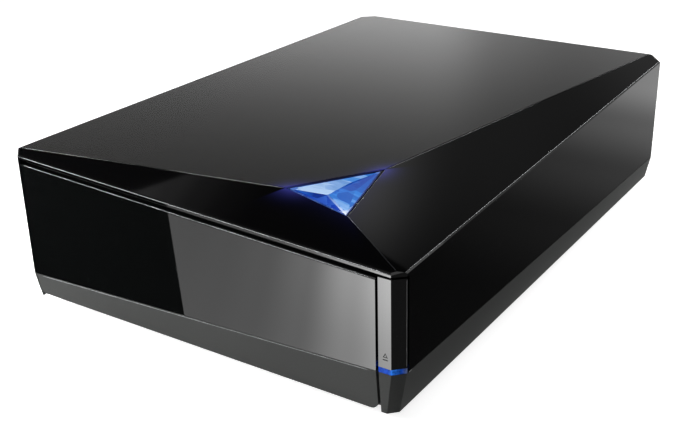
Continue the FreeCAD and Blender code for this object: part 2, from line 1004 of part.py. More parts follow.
def make_drive_frame():
    x0, x1 = drive_span(sheet + 0.1)
    y0 = drive_front + face_thickness + 0.1
    y1 = drive_back - sheet - 0.1
    top = tray_top + bridge_clear
    z0 = drive_bottom + sheet
    body = box(x0, x1, y0, y1, z0, top)
    inner = x0 + frame_wall, x1 - frame_wall, y0 - 1, y1 - frame_wall, z0 + floor_thickness, top + 1
    body = body.cut(box(*inner))
    tx0, tx1, ty0, ty1 = traverse_box(1.2)
    body = body.cut(box(tx0, tx1, ty0 - 1.0, ty1 - 6, z0 - 1, z0 + floor_thickness + 1))
    board_bay = box(tx0, tx1, ty1 - 7, y1 - frame_wall, z0 - 1, z0 + floor_thickness + 1)
    half = tray_width / 2
    ledge_top = tray_bottom - tray_gap
    ledges = [box(x0 + 0.5, drive_x - half + ledge_depth, y0, y1 - 1, ledge_top - 2.4, ledge_top)]
    ledges.append(box(drive_x + half - ledge_depth, x1 - 0.5, y0, y1 - 1, ledge_top - 2.4, ledge_top))
    guides = [box(x0 + 0.5, drive_x - half - tray_gap, y0, y1 - 1, ledge_top - 2.4, tray_top)]
    guides.append(box(drive_x + half + tray_gap, x1 - 0.5, y0, y1 - 1, ledge_top - 2.4, tray_top))
    hooks = []
    low = tray_top + tray_gap
    for y in (y0 + 2, y0 + 60):
        hooks.append(box(x0 + 0.5, drive_x - half + 1.4, y, y + 12, low, low + 1.6))
        hooks.append(box(drive_x + half - 1.4, x1 - 0.5, y, y + 12, low, low + 1.6))
    posts = []
    for (x, y), height in ((tray_gear_place(), tray_gear_top() + 0.9), (pulley_place(), belt_top() + 0.6)):
        posts.append(rod(axle_radius * 2, (x, y, z0), (x, y, drive_bottom + gear_base - 0.3)))
        posts.append(rod(axle_radius, (x, y, z0), (x, y, height)))
    brackets = []
    for side, edge in ((-1, drive_x - traverse_left), (1, drive_x + traverse_right)):
        a = edge + side * 0.5
        b = a + side * damper_length
        block = box(min(a, b), max(a, b), hinge_y() - 5, hinge_y() + 5, z0, hinge_z() + 5)
        ends = [(x, hinge_y(), hinge_z()) for x in (a - side, b + side)]
        brackets.append(block.cut(rod(damper_radius, *ends)))
    guards = []
    for y in (cam_y() - 1.9, cam_y() + cam_thickness + 0.3):
        guards.append(box(tx0 - 12, tx0 - 5, y, y + 1.6, z0, z0 + 6))
        guards.append(box(tx1 + 5, tx1 + 12, y, y + 1.6, z0, z0 + 6))
    body = join([body.cut(board_bay)] + ledges + guides + hooks + posts + brackets + guards)
    holes = [rod(screw_radius + 0.5, (x, y, 0), (x, y, drive_bottom + 4.5)) for x, y in drive_screw_places()]
    x = port_x()
    half = port_half + 0.4
    port = box(x - half, x + half, drive_back - 9.4, drive_back, main_board_top() - 0.4, board_top() + 6.6)
    return cut(body, holes + [port])


def make_main_board():
    tx0, tx1, ty0, ty1 = traverse_box(0)
    z1 = main_board_top()
    y1 = drive_back - sheet - 0.4 - frame_wall
    return box(tx0 + 0.2, tx1 - 0.2, y1 - main_board_length, y1, z1 - board_thickness, z1)


def main_board_top():
    return drive_bottom + sheet + main_board_lift + board_thickness


def make_main_chips():
    y1 = drive_back - sheet - frame_wall
    z0 = main_board_top()
    chips = []
    for x, setback, width, depth, height in main_chip_sizes:
        x0, y0 = drive_x + x, y1 - setback
        chips.append(box(x0, x0 + width, y0, y0 + depth, z0, z0 + height))
    return group(chips)


def make_drive_port():
    x = port_x()
    z0 = board_top() + 2.6
    rear = drive_back - sheet - 0.1
    body = box(x - port_half, x + port_half, rear - 8, rear, main_board_top(), z0 + 3.6)
    half = port_blade_half
    blade = box(x - half, x + half, rear - 1, drive_back + 4.6, z0 + 0.2, z0 + 2.4)
    return join([body, blade])


# Gears: an involute outline, with its first tooth's centre at an angle

def involute_points(teeth, angle, clearance):
    r = gear_module * teeth / 2
    alpha = math.radians(pressure_angle)
    base = r * math.cos(alpha)
    tip = r + gear_module
    root = r - 1.25 * gear_module
    half = math.pi / (2 * teeth) - clearance / (2 * r)
    inv = math.tan(alpha) - alpha
    flank = []
    start = max(base, root + 0.05)
    for i in range(6):
        radius = start + (tip - start) * i / 5
        bend = math.acos(min(1.0, base / radius))
        flank.append((radius, half + inv - (math.tan(bend) - bend)))
    points = []
    for k in range(teeth):
        centre = angle + 2 * math.pi * k / teeth
        pitch_half = math.pi / teeth
        low = flank[0][1]
        points.append((root, centre - (pitch_half + low) / 2))
        points.append((root, centre - low))
        points += [(radius, centre - turn) for radius, turn in flank]
        points += [(radius, centre + turn) for radius, turn in reversed(flank)]
        points.append((root, centre + low))
    return [(radius * math.cos(a), radius * math.sin(a)) for radius, a in points]


def gear(x, y, teeth, angle, z0, z1):
    outline = [(x + px, y + py) for px, py in involute_points(teeth, angle, backlash)]
    return prism(outline, z0, z1)


def rack_x():
    return drive_x - tray_width / 2 + rack_from_edge


def tray_gear_place():
    return rack_x() + gear_module * tray_gear_teeth / 2, drive_front + gear_from_face


def tray_gear_top():
    return drive_bottom + gear_base + gear_height


def pulley_place():
    x, y = tray_gear_place()
    reach_out = gear_module * (tray_gear_teeth + pinion_teeth) / 2
    turn = math.radians(pinion_bearing)
    return x + reach_out * math.cos(turn), y + reach_out * math.sin(turn)


def motor_place():
    x, y = pulley_place()
    return x + motor_offset_x, y - 3.0


def belt_bottom():
    return tray_gear_top() + 1.4


def belt_top():
    return belt_bottom() + belt_size + 1.6


def make_tray_gear():
    x, y = tray_gear_place()
    z0 = drive_bottom + gear_base
    # A gap between two teeth faces the rack, and a tooth faces the pinion's gap
    angle = math.pi + math.pi / tray_gear_teeth
    wheel = gear(x, y, tray_gear_teeth, angle, z0, z0 + gear_height)
    bore = rod(axle_radius + running_fit, (x, y, z0 - 1), (x, y, z0 + 9))
    ring = rod(10.5, (x, y, z0 + gear_height - 1), (x, y, z0 + 9)).cut(rod(4.5, (x, y, 0), (x, y, z0 + 10)))
    return cut(wheel, [bore, ring])


def pinion_angle():
    # Turned so that its gap meets the tooth of the tray gear on the line of centres
    turn = math.radians(pinion_bearing)
    pitch = 2 * math.pi / tray_gear_teeth
    first = math.pi + math.pi / tray_gear_teeth
    offset = (turn - first) / pitch
    phase = offset - math.floor(offset)
    return turn + math.pi + math.pi / pinion_teeth + phase * 2 * math.pi / pinion_teeth


def make_pulley_gear():
    x, y = pulley_place()
    z0 = drive_bottom + gear_base
    pinion = gear(x, y, pinion_teeth, pinion_angle(), z0, belt_bottom() - 0.8)
    wheel = rod(pulley_radius + 1.0, (x, y, belt_bottom() - 0.8), (x, y, belt_bottom() + belt_size + 0.8))
    groove = rod(pulley_radius + 3.0, (x, y, belt_bottom()), (x, y, belt_bottom() + belt_size))
    groove = groove.cut(rod(pulley_radius, (x, y, 0), (x, y, 60)))
    bore = rod(axle_radius + running_fit, (x, y, z0 - 1), (x, y, 60))
    return cut(join([pinion, wheel]), [groove, bore])


def make_motor_pulley():
    x, y = motor_place()
    z0 = belt_bottom() - 0.8
    wheel = rod(motor_pulley_radius + 0.9, (x, y, z0), (x, y, z0 + belt_size + 1.6))
    groove = rod(9.0, (x, y, belt_bottom()), (x, y, belt_bottom() + belt_size))
    groove = groove.cut(rod(motor_pulley_radius, (x, y, 0), (x, y, 60)))
    bore = rod(1.0 + running_fit, (x, y, z0 - 1), (x, y, 60))
    return cut(wheel, [groove, bore])


def make_belt():
    # Two arcs joined by the pulleys' outer tangents, square in section
    (x0, y0), (x1, y1) = pulley_place(), motor_place()
    r0 = pulley_radius + belt_gap
    r1 = motor_pulley_radius + belt_gap
    return belt_form(x0, y0, x1, y1, r0 + belt_size, r1 + belt_size).cut(
        belt_form(x0, y0, x1, y1, r0, r1)
    )


def belt_form(x0, y0, x1, y1, r0, r1):
    length = math.hypot(x1 - x0, y1 - y0)
    heading = math.atan2(y1 - y0, x1 - x0)
    lean = math.acos((r0 - r1) / length)
    z0 = belt_bottom() + 0.05
    z1 = belt_bottom() + belt_size - 0.05
    points = []
    for side in (1, -1):
        a = heading + side * lean
        circles = ((x0, y0, r0), (x1, y1, r1))
        pair = [(x + r * math.cos(a), y + r * math.sin(a)) for x, y, r in circles]
        points += pair if side == 1 else pair[::-1]
    ends = [rod(r0, (x0, y0, z0), (x0, y0, z1)), rod(r1, (x1, y1, z0), (x1, y1, z1))]
    return join([prism(points, z0, z1)] + ends)


def make_loading_motor():
    x, y = motor_place()
    z1 = belt_bottom() - 1.2
    can = rod(motor_radius, (x, y, frame_floor()), (x, y, z1 - 0.6))
    neck = rod(3.0, (x, y, z1 - 0.7), (x, y, z1))
    shaft = rod(1.0, (x, y, z1 - 1), (x, y, belt_top()))
    flats = [box(x - 20, x + 20, y + 8.0, y + 20, 0, 60), box(x - 20, x + 20, y - 20, y - 8.0, 0, 60)]
    return join([cut(can, flats), neck, shaft])


# Tray

def tray_recess(radius, depth):
    low = tray_top - depth
    return rod(radius + disc_clearance, (drive_x, spindle_y, low), (drive_x, spindle_y, tray_top + 1))


def finger_dips():
    # Hollows at the disc's edge, kept inside the tray's sides
    dips = []
    low = tray_top - disc_recess - small_disc_step
    half = tray_width / 2 - 2
    within = box(drive_x - half, drive_x + half, -reach, reach, 0, 60)
    for side in (-1, 1):
        x = drive_x + side * (disc_radius - 2)
        for y in (spindle_y - dip_spread, spindle_y + dip_spread):
            dips.append(rod(dip_radius, (x, y, low), (x, y, tray_top + 1)).common(within))
    return dips


def tray_bracket():
    # The upright plate that carries the drawer front
    y0 = front + panel_thickness
    plate = box(panel_left + 4, panel_right - 4, y0, y0 + bracket_thickness, base_floor + 5, drive_top - 3)
    return plate.cut(beyond(shifted(front_taper_face, -panel_thickness)))


def make_disc_tray():
    half = tray_width / 2
    y0 = drive_front - 0.4
    y1 = drive_front + tray_length
    slab = box(drive_x - half, drive_x + half, y0, y1, tray_bottom, tray_top)
    inner = half - tray_rim
    under = box(drive_x - inner, drive_x + inner, y0 + 7, y1 + 1, tray_bottom - 1, tray_top - tray_skin)
    hollows = [
        tray_recess(disc_radius, disc_recess),
        tray_recess(small_disc_radius, disc_recess + small_disc_step),
        join([
            rod(slot_half, (drive_x, spindle_y, 0), (drive_x, spindle_y, 60)),
            box(drive_x - slot_half, drive_x + slot_half, spindle_y, y1 + 1, 0, 60),
        ]),
        box(drive_x - 48, drive_x + 48, y1 - 26, y1 + 1, tray_top - 0.8, tray_top + 1),
    ]
    nose_half = half - 1.0
    nose_front = front + panel_thickness + bracket_thickness - 0.1
    nose = box(drive_x - nose_half, drive_x + nose_half, nose_front, y0 + 7.2, tray_bottom + 0.6, tray_top)
    body = join([cut(slab, [under]), nose, rack_bar(y0 + 7, y1)])
    return join([cut(body, hollows + finger_dips()), tray_bracket()])


def rack_bar(y0, y1):
    # Teeth face +X and mesh with the tray gear, whose gap points at a tooth
    x = rack_x()
    gy = tray_gear_place()[1]
    z0 = drive_bottom + gear_base
    pitch = math.pi * gear_module
    lean = math.tan(math.radians(pressure_angle))
    half = pitch / 4 - backlash / 2
    count = int((y1 - y0) / pitch) + 2
    points = [(x - rack_thickness, y0), (x - 1.25 * gear_module, y0)]
    first = math.ceil((y0 + 1.6 - gy) / pitch)
    for k in range(first, first + count):
        centre = gy + k * pitch
        if centre + 1.6 > y1:
            break
        root = -1.25 * gear_module
        tip = gear_module
        points.append((x + root, centre - half + root * lean))
        points.append((x + tip, centre - half + tip * lean))
        points.append((x + tip, centre + half - tip * lean))
        points.append((x + root, centre + half - root * lean))
    points += [(x - 1.25 * gear_module, y1), (x - rack_thickness, y1)]
    teeth = prism(points, z0, z0 + gear_height)
    low, high = z0 + gear_height - 0.1, tray_top - tray_skin + 0.2
    web = box(x - rack_thickness, x - 1.25 * gear_module, y0, y1, low, high)
    return join([teeth, web])


# Traverse, spindle and pickup

def make_traverse_frame():
    x0, x1, y0, y1 = traverse_box(0)
    z0 = traverse_z()
    z1 = z0 + traverse_plate
    plate = box(x0, x1, y0, y1, z0, z1)
    window = box(drive_x - rod_left + 6, drive_x + rod_right - 4, spindle_y + spindle_radius + 2,
                 spindle_y + pickup_outer + 18, z0 - 1, z1 + 1)
    corner_a = box(x0 - 1, x0 + 9, y0 - 1, y0 + 14, z0 - 1, z1 + 1)
    corner_b = box(x1 - 9, x1 + 1, y0 - 1, y0 + 14, z0 - 1, z1 + 1)
    rod_z = z0 + rod_lift
    blocks = []
    for x in (drive_x - rod_left, drive_x + rod_right):
        for y in (rod_start(), rod_end()):
            blocks.append(box(x - 3, x + 3, y, y + 3, z0, rod_z + 2.4))
    x = drive_x + screw_offset
    blocks.append(box(x - 3, x + 3, rod_end(), rod_end() + 3, z0, rod_z + 2.4))
    pins = []
    for edge, side in ((x0, -1), (x1, 1)):
        a = (edge - side * 3, hinge_y(), hinge_z())
        b = (edge + side * (damper_length + 0.5), hinge_y(), hinge_z())
        pins.append(rod(hinge_radius, a, b))
    for side in (-1, 1):
        x = drive_x + side * cam_pin_x
        pins.append(rod(cam_pin_radius, (x, y0 + 2, hinge_z()), (x, cam_y() - 0.6, hinge_z())))
    body = join([cut(plate, [window, corner_a, corner_b])] + blocks + pins)
    holes = []
    for x in (drive_x - rod_left, drive_x + rod_right):
        holes.append(rod(rod_radius, (x, rod_start() - 1, rod_z), (x, rod_end() + 4, rod_z)))
    x = drive_x + screw_offset
    holes.append(rod(1.0 + running_fit, (x, rod_end() - 1, rod_z), (x, rod_end() + 4, rod_z)))
    return cut(body, holes)


def rod_start():
    return spindle_y + spindle_radius - 2.0


def rod_end():
    return spindle_y + pickup_outer + 23.0


def make_guide_rods():
    z = traverse_z() + rod_lift
    xs = (drive_x - rod_left, drive_x + rod_right)
    return group([rod(rod_radius, (x, rod_start(), z), (x, rod_end() + 3, z)) for x in xs])


def make_dampers():
    x0, x1 = traverse_box(0)[:2]
    rings = []
    for edge, side in ((x0, -1), (x1, 1)):
        a = (edge + side * 0.5, hinge_y(), hinge_z())
        b = (edge + side * (0.5 + damper_length), hinge_y(), hinge_z())
        ring = rod(damper_radius, a, b).cut(rod(hinge_radius + running_fit, a, b))
        rings.append(ring)
    return group(rings)


def make_cam_slider():
    x0 = drive_x - cam_pin_x - 17.0
    x1 = drive_x + cam_pin_x + 5.0
    z0 = frame_floor() + 0.3
    y0 = cam_y()
    bar = box(x0, x1, y0, y0 + cam_thickness, z0, z0 + cam_height)
    slots = []
    radius = cam_pin_radius + cam_slot_gap
    for side in (-1, 1):
        x = drive_x + side * cam_pin_x
        ends = ((x, hinge_z()), (x - cam_travel, hinge_z() - tilt_drop))
        lean = math.atan2(-tilt_drop, -cam_travel)
        nx = -math.sin(lean) * radius
        nz = math.cos(lean) * radius
        corners = [(ends[0][0] + nx, ends[0][1] + nz), (ends[1][0] + nx, ends[1][1] + nz),
                   (ends[1][0] - nx, ends[1][1] - nz), (ends[0][0] - nx, ends[0][1] - nz)]
        wire = Part.makePolygon([V(a, y0 - 1, b) for a, b in corners + corners[:1]])
        slots.append(Part.Face(wire).extrude(V(0, cam_thickness + 2, 0)))
        slots += [rod(radius, (a, y0 - 1, b), (a, y0 + cam_thickness + 1, b)) for a, b in ends]
    return cut(bar, slots)


def make_spindle_motor():
    z0 = traverse_z() + traverse_plate
    base = rod(spindle_radius, (drive_x, spindle_y, z0), (drive_x, spindle_y, z0 + 1.6))
    tail = box(drive_x - 8, drive_x + 8, spindle_y - 17, spindle_y, z0, z0 + 0.8)
    stator = rod(8.5, (drive_x, spindle_y, z0 + 1.5), (drive_x, spindle_y, z0 + 4.6))
    shaft = rod(axle_radius, (drive_x, spindle_y, z0), (drive_x, spindle_y, platter_top() - 1))
    return join([base, tail, stator, shaft])


def platter_top():
    return tray_top - disc_recess + 1.0


def make_turntable():
    z0 = traverse_z() + traverse_plate + 2.0
    top = platter_top()
    can = rod(spindle_radius, (drive_x, spindle_y, z0), (drive_x, spindle_y, z0 + 5.4))
    hollow = rod(spindle_radius - 1.0, (drive_x, spindle_y, z0 - 1), (drive_x, spindle_y, z0 + 4.2))
    neck = rod(6.0, (drive_x, spindle_y, z0 + 4), (drive_x, spindle_y, top - 1))
    platter = rod(platter_radius, (drive_x, spindle_y, top - 2.0), (drive_x, spindle_y, top))
    nose = rod(nose_radius, (drive_x, spindle_y, top - 1), (drive_x, spindle_y, top + 2.2))
    rim = [e for e in nose.Edges if abs(e.CenterOfMass.z - top - 2.2) < 0.01 and len(e.Vertexes) == 1]
    nose = nose.makeChamfer(0.9, rim)
    body = join([can.cut(hollow), neck, platter, nose])
    bore = rod(axle_radius + running_fit, (drive_x, spindle_y, z0 - 1), (drive_x, spindle_y, top - 0.6))
    return body.cut(bore)


def make_clamp_bridge():
    x0, x1 = drive_span(sheet + 0.1)
    z0 = tray_top + bridge_clear
    y0 = spindle_y - bridge_width / 2
    beam = box(x0, x1, y0, y0 + bridge_width, z0, z0 + bridge_thickness)
    rails = [box(x0, x1, y, y + 1.2, z0, z0 + bridge_thickness + 3.0) for y in (y0, y0 + bridge_width - 1.2)]
    hole = rod(puck_hub_radius + 1.0, (drive_x, spindle_y, z0 - 1), (drive_x, spindle_y, z0 + 9))
    return join([beam] + rails).cut(hole)


def make_clamp_puck():
    z0 = tray_top + bridge_clear
    low = platter_top() + 1.8
    disc = rod(puck_radius, (drive_x, spindle_y, low), (drive_x, spindle_y, z0 - 0.5))
    hub = rod(puck_hub_radius, (drive_x, spindle_y, low), (drive_x, spindle_y, z0 + bridge_thickness + 1.9))
    cap = rod(puck_hub_radius + 4.0, (drive_x, spindle_y, z0 + bridge_thickness + 0.3),
              (drive_x, spindle_y, z0 + bridge_thickness + 1.9))
    pocket = rod(nose_radius + 0.6, (drive_x, spindle_y, low - 1), (drive_x, spindle_y, low + 1.2))
    return join([disc, hub, cap]).cut(pocket)


def pickup_front():
    return spindle_y + spindle_radius + 2.6


def lens_y():
    return spindle_y + pickup_inner


def make_pickup_body():
    z = traverse_z() + rod_lift
    x0 = drive_x - rod_left - 3.4
    x1 = drive_x + rod_right + 3.4
    y0 = pickup_front()
    body = box(x0, x1, y0, y0 + pickup_length, z - 2.4, z + 2.6)
    belly = box(drive_x - 14, drive_x + 16, y0 + 4, y0 + pickup_length - 3, z - 4.2, z)
    arm_x = drive_x + screw_offset
    arm = box(x1 - 1, arm_x + 2.6, y0 + 10, y0 + 18, z - 2.4, z + 2.6)
    turret = box(drive_x - 9, drive_x + 9, y0 + 2, y0 + 19, z + 2, z + 4.2)
    holes = []
    for x in (drive_x - rod_left, drive_x + rod_right):
        holes.append(rod(rod_radius + running_fit, (x, y0 - 1, z), (x, y0 + pickup_length + 1, z)))
    holes.append(rod(lead_screw_radius + running_fit, (arm_x, y0 - 1, z), (arm_x, y0 + pickup_length + 1, z)))
    holes.append(rod(lens_radius + 0.2, (drive_x, lens_y(), z + 2.0), (drive_x, lens_y(), z + 9)))
    return cut(join([body, belly, arm, turret]), holes)


def make_lens():
    z = traverse_z() + rod_lift + 2.0
    barrel = rod(lens_radius, (drive_x, lens_y(), z), (drive_x, lens_y(), z + 2.6))
    dome = Part.makeSphere(6.0, V(drive_x, lens_y(), z + 2.6 - 5.0))
    cap = dome.common(rod(2.4, (drive_x, lens_y(), z + 2.0), (drive_x, lens_y(), z + 5)))
    return join([barrel, cap])


def sled_motor_front():
    return pickup_front() - 6.0


def make_sled_motor():
    x = drive_x + screw_offset
    z = traverse_z() + rod_lift
    y0 = sled_motor_front() - sled_motor_length
    can = rod(sled_motor_radius, (x, y0, z), (x, y0 + sled_motor_length, z))
    foot = box(x - 3, x + 3, y0 + 1, y0 + sled_motor_length - 1, traverse_z() + traverse_plate, z)
    trim = box(x - 9, x + 9, y0 - 1, y0 + 99, 0, traverse_z() + traverse_plate)
    shell = join([can, foot]).cut(trim)
    bore = rod(1.0 + running_fit, (x, y0 + 4, z), (x, y0 + 99, z))
    return shell.cut(bore)


def make_lead_screw():
    x = drive_x + screw_offset
    z = traverse_z() + rod_lift
    y0 = sled_motor_front()
    journal = rod(1.0, (x, y0 - 8, z), (x, rod_end() + 2.6, z))
    thread = rod(lead_screw_radius, (x, y0 + 0.4, z), (x, rod_end() - 0.4, z))
    return join([journal, thread])


# Small boards and leads

def make_key_board():
    y0 = bulkhead_front() + wall + 0.1
    x0 = key_left + switch_width
    z0 = seam_front_right - key_board_drop
    z1 = lip_right_height - key_board_headroom
    return box(x0, x0 + key_board_thickness, y0, y0 + key_board_length, z0, z1)


def lead_path(points):
    # Straight runs joined by tangent arcs, each as large as its two runs allow
    points = [V(*p) for p in points]
    edges = []
    last = points[0]
    radii = []
    for before, here, after in zip(points, points[1:], points[2:]):
        into = (here - before).normalize()
        out = (after - here).normalize()
        turn = into.getAngle(out)
        run = min((here - before).Length, (after - here).Length)
        setback = 0.45 * run
        radii.append(setback / math.tan(turn / 2))
        start = here - into * setback
        end = here + out * setback
        inward = (out - into).normalize()
        rise = radii[-1] * (1 / math.cos(turn / 2) - 1)
        edges.append(Part.LineSegment(last, start).toShape())
        edges.append(Part.Arc(start, here + inward * rise, end).toShape())
        last = end
    edges.append(Part.LineSegment(last, points[-1]).toShape())
    return Part.Wire(edges), radii


def lead(points, radius, name):
    path, radii = lead_path(points)
    start = V(*points[0])
    heading = (V(*points[1]) - start).normalize()
    ring = Part.Wire([Part.makeCircle(radius, start, heading)])
    tube = path.makePipeShell([ring], True, False)
    expected = math.pi * radius ** 2 * path.Length
    print(name, "length", round(path.Length, 1), "radii", [round(r, 1) for r in radii],
          "volume share", round(tube.Volume / expected, 4))
    return tube


def make_key_lead():
    x = (drive_span(0)[1] + half_width - wall) / 2 + 1.0
    y0 = bulkhead_front() + wall + 0.1 + key_board_length
    z = seam_front_right + 3.0
    y1 = drive_back + 4.0
    run = y1 - y0
    end_x = key_plug_x()
    points = [(key_left + switch_width + key_board_thickness / 2, y0, z)]
    points += [(x, y0 + 0.15 * run, z + 0.6), (x - 0.6, y0 + 0.42 * run, z - 0.4)]
    points += [(x + 0.5, y0 + 0.71 * run, z + 0.5), (x - 0.4, y0 + 0.85 * run, z - 0.6)]
    points += [(x - 3.0, y1 - 2, z - 2.4), (end_x + 8.0, y1 + 4.5, board_top() + 2.0)]
    points += [(end_x, y1 + 5.5, board_top() + 2.0)]
    return lead(points, lead_radius, "key_lead")


def key_plug_x():
    return bridge_board_width / 2 - 9.0


def make_key_plug():
    end_x = key_plug_x()
    y = drive_back + 9.5
    return box(end_x - 6, end_x, y - 4, y + 4, board_top(), board_top() + 4.5)


def crystal_lead_x():
    return stone_left_x + 14.0


def make_crystal_lead():
    # Leaves the light board's plug, crosses the drive's lid and drops to the bridge board
    x = crystal_lead_x()
    z = drive_top + 1.3
    low = board_top() + 5.0
    y1 = bridge_board_front() + 5.0
    points = [(x, stone_back_y + 2.0, z + 1.0), (x + 2.0, stone_back_y + 44.0, z), (x - 1.5, y1 - 42.0, z)]
    points += [(x, y1 - 1.0, z + 1.2), (x, y1 + 4.0, low + 18.0)]
    points += [(x - 0.6, y1 + 0.6, low + 8.0), (x, y1, low)]
    return lead(points, crystal_lead_radius, "crystal_lead")


def make_crystal_plugs():
    x = crystal_lead_x()
    y1 = bridge_board_front() + 5.0
    upper = box(x - 3, x + 3, stone_back_y - 4.0, stone_back_y + 2.0,
                drive_top + 0.6, light_board_top() - light_board_thickness)
    lower = box(x - 3, x + 3, y1 - 2.5, y1 + 2.5, board_top(), board_top() + 5.0)
    return upper, lower


nodes["top_cover"] = make_top_cover()
nodes["top_plate"] = make_top_plate()
nodes["crystal_lens"] = make_crystal()
nodes["crystal_reflector"] = make_reflector()
nodes["crystal_light_board"] = make_light_board()
nodes["base_shell"] = make_base_shell()
nodes["rear_panel"] = make_rear_panel()
nodes["usb_socket"] = make_usb_socket()
nodes["dc_jack"] = make_dc_jack()
nodes["rubber_feet"] = make_feet()
nodes["case_screws"] = make_case_screws()
nodes["drive_screws"] = make_drive_screws()
nodes["bridge_board"] = make_bridge_board()
nodes["bridge_chips"] = make_bridge_chips()
nodes["bridge_board_screws"] = make_bridge_screws()
nodes["dock_connector"] = make_dock_connector()
nodes["key_board"] = make_key_board()
nodes["tact_switch"] = make_tact_switch()
nodes["key_light_guide"] = make_key_light()
nodes["key_lead"] = make_key_lead()
nodes["key_lead_plug"] = make_key_plug()
nodes["crystal_lead"] = make_crystal_lead()
nodes["crystal_lead_plugs"] = group(make_crystal_plugs())
nodes["drive_face"] = make_drive_face()
nodes["drive_bottom_shell"] = make_drive_bottom()
nodes["drive_top_shell"] = make_drive_top()
nodes["drive_frame"] = make_drive_frame()
nodes["main_board"] = make_main_board()
nodes["main_chips"] = make_main_chips()
nodes["drive_port"] = make_drive_port()
nodes["loading_motor"] = make_loading_motor()
nodes["drive_belt"] = make_belt()
nodes["traverse_dampers"] = make_dampers()
nodes["clamp_bridge"] = make_clamp_bridge()
nodes["front_gloss_panel"] = make_front_panel()
nodes["front_strip"] = make_front_strip()
nodes["disc_tray"] = make_disc_tray()
nodes["eject_key"] = make_eject_key()
nodes["switch_plunger"] = make_switch_plunger()
nodes["tray_gear"] = make_tray_gear()
nodes["pulley_gear"] = make_pulley_gear()
nodes["motor_pulley"] = make_motor_pulley()
nodes["cam_slider"] = make_cam_slider()
nodes["traverse_frame"] = make_traverse_frame()
nodes["guide_rods"] = make_guide_rods()
nodes["spindle_motor"] = make_spindle_motor()
nodes["sled_motor"] = make_sled_motor()
nodes["turntable"] = make_turntable()
nodes["clamp_puck"] = make_clamp_puck()
nodes["pickup_body"] = make_pickup_body()
nodes["objective_lens"] = make_lens()
nodes["lead_screw"] = make_lead_screw()

for name, shape in nodes.items():
    shape.exportStep("parts/" + name + ".step")
    print(name, len(shape.Solids), round(shape.Volume, 1), shape.isValid())
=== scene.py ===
import bpy
import bmesh
import json
import math
from mathutils import Matrix, Vector


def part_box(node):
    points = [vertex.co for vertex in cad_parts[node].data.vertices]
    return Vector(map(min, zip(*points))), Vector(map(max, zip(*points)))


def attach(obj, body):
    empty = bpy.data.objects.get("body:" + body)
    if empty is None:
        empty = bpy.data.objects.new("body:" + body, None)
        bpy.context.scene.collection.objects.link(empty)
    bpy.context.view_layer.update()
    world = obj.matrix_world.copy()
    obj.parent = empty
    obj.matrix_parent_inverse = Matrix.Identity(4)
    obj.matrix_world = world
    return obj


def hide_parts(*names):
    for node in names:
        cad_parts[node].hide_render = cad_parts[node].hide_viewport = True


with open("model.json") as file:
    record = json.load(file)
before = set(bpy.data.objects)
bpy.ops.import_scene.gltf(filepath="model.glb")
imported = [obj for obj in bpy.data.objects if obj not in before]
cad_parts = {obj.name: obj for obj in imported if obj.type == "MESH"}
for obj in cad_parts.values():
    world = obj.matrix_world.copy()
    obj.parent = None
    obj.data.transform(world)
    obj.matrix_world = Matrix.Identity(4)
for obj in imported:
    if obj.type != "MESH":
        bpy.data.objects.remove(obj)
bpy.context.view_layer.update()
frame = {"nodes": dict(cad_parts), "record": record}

# External disc drive. Metres; the drawer front faces -Y, +X is to the right, the feet stand on z = 0.
mm = 0.001

# Camera and studio

camera = {
    "place": (0.2238041, -0.3615592, 0.1984681),
    "forward": (-0.474673, 0.785630, -0.396840),
    "rollDegrees": -0.27,
    "lens": 56.53,
    "shift": (-0.0736, -0.0170),
}

studio = {
    "floorSize": 24.0,
    "floorColor": (0.60, 0.60, 0.60),
    "floorLift": 0.80,          # what the floor gives off by itself, so that it ends up white
    "farGlow": (0.9, 3.2),      # how far out the floor turns fully white by itself
    "ambient": 0.13,
    # name, place, size, power
    "lamps": [
        ("keyLamp", (-0.9, -1.3, 1.5), 1.3, 4.5),
        ("topLamp", (0.1, 0.2, 1.7), 1.6, 11.0),
        ("leftLamp", (-0.22, -0.26, 0.16), 0.12, 2.1),
        ("rightLamp", (0.26, 0.34, 0.06), 0.12, 1.7),
    ],
}


def newObject(name, data):
    item = bpy.data.objects.new(name, data)
    bpy.context.scene.collection.objects.link(item)
    return item


def makeCamera():
    data = bpy.data.cameras.new("camera")
    item = newObject("camera", data)
    turn = Vector(camera["forward"]).to_track_quat("-Z", "Y").to_matrix()
    roll = Matrix.Rotation(math.radians(camera["rollDegrees"]), 3, "Z")
    item.matrix_world = Matrix.Translation(camera["place"]) @ (turn @ roll).to_4x4()
    data.lens = camera["lens"]
    data.sensor_width = 36
    data.shift_x, data.shift_y = camera["shift"]
    data.clip_start = 0.01
    data.clip_end = 100
    bpy.context.scene.camera = item


def seenDirectly(tree):
    # 1 for camera, glossy and transmission rays
    rays = tree.nodes.new("ShaderNodeLightPath").outputs
    shown = plus(tree, rays["Is Camera Ray"], rays["Is Glossy Ray"])
    return plus(tree, shown, rays["Is Transmission Ray"], True)


def makeWorld():
    world = bpy.data.worlds.new("studioWorld")
    bpy.context.scene.world = world
    world.use_nodes = True
    tree = world.node_tree
    tree.nodes.clear()
    output = tree.nodes.new("ShaderNodeOutputWorld")
    mix = tree.nodes.new("ShaderNodeMixShader")
    shades = []
    for strength in (studio["ambient"], 1.0):
        shade = tree.nodes.new("ShaderNodeBackground")
        shade.inputs["Color"].default_value = (1, 1, 1, 1)
        shade.inputs["Strength"].default_value = strength
        shades.append(shade)
    tree.links.new(seenDirectly(tree), mix.inputs[0])
    tree.links.new(shades[0].outputs[0], mix.inputs[1])
    tree.links.new(shades[1].outputs[0], mix.inputs[2])
    tree.links.new(mix.outputs[0], output.inputs["Surface"])


def meshObject(name, points, faces):
    mesh = bpy.data.meshes.new(name)
    mesh.from_pydata([tuple(p) for p in points], [], faces)
    mesh.update()
    return newObject(name, mesh)


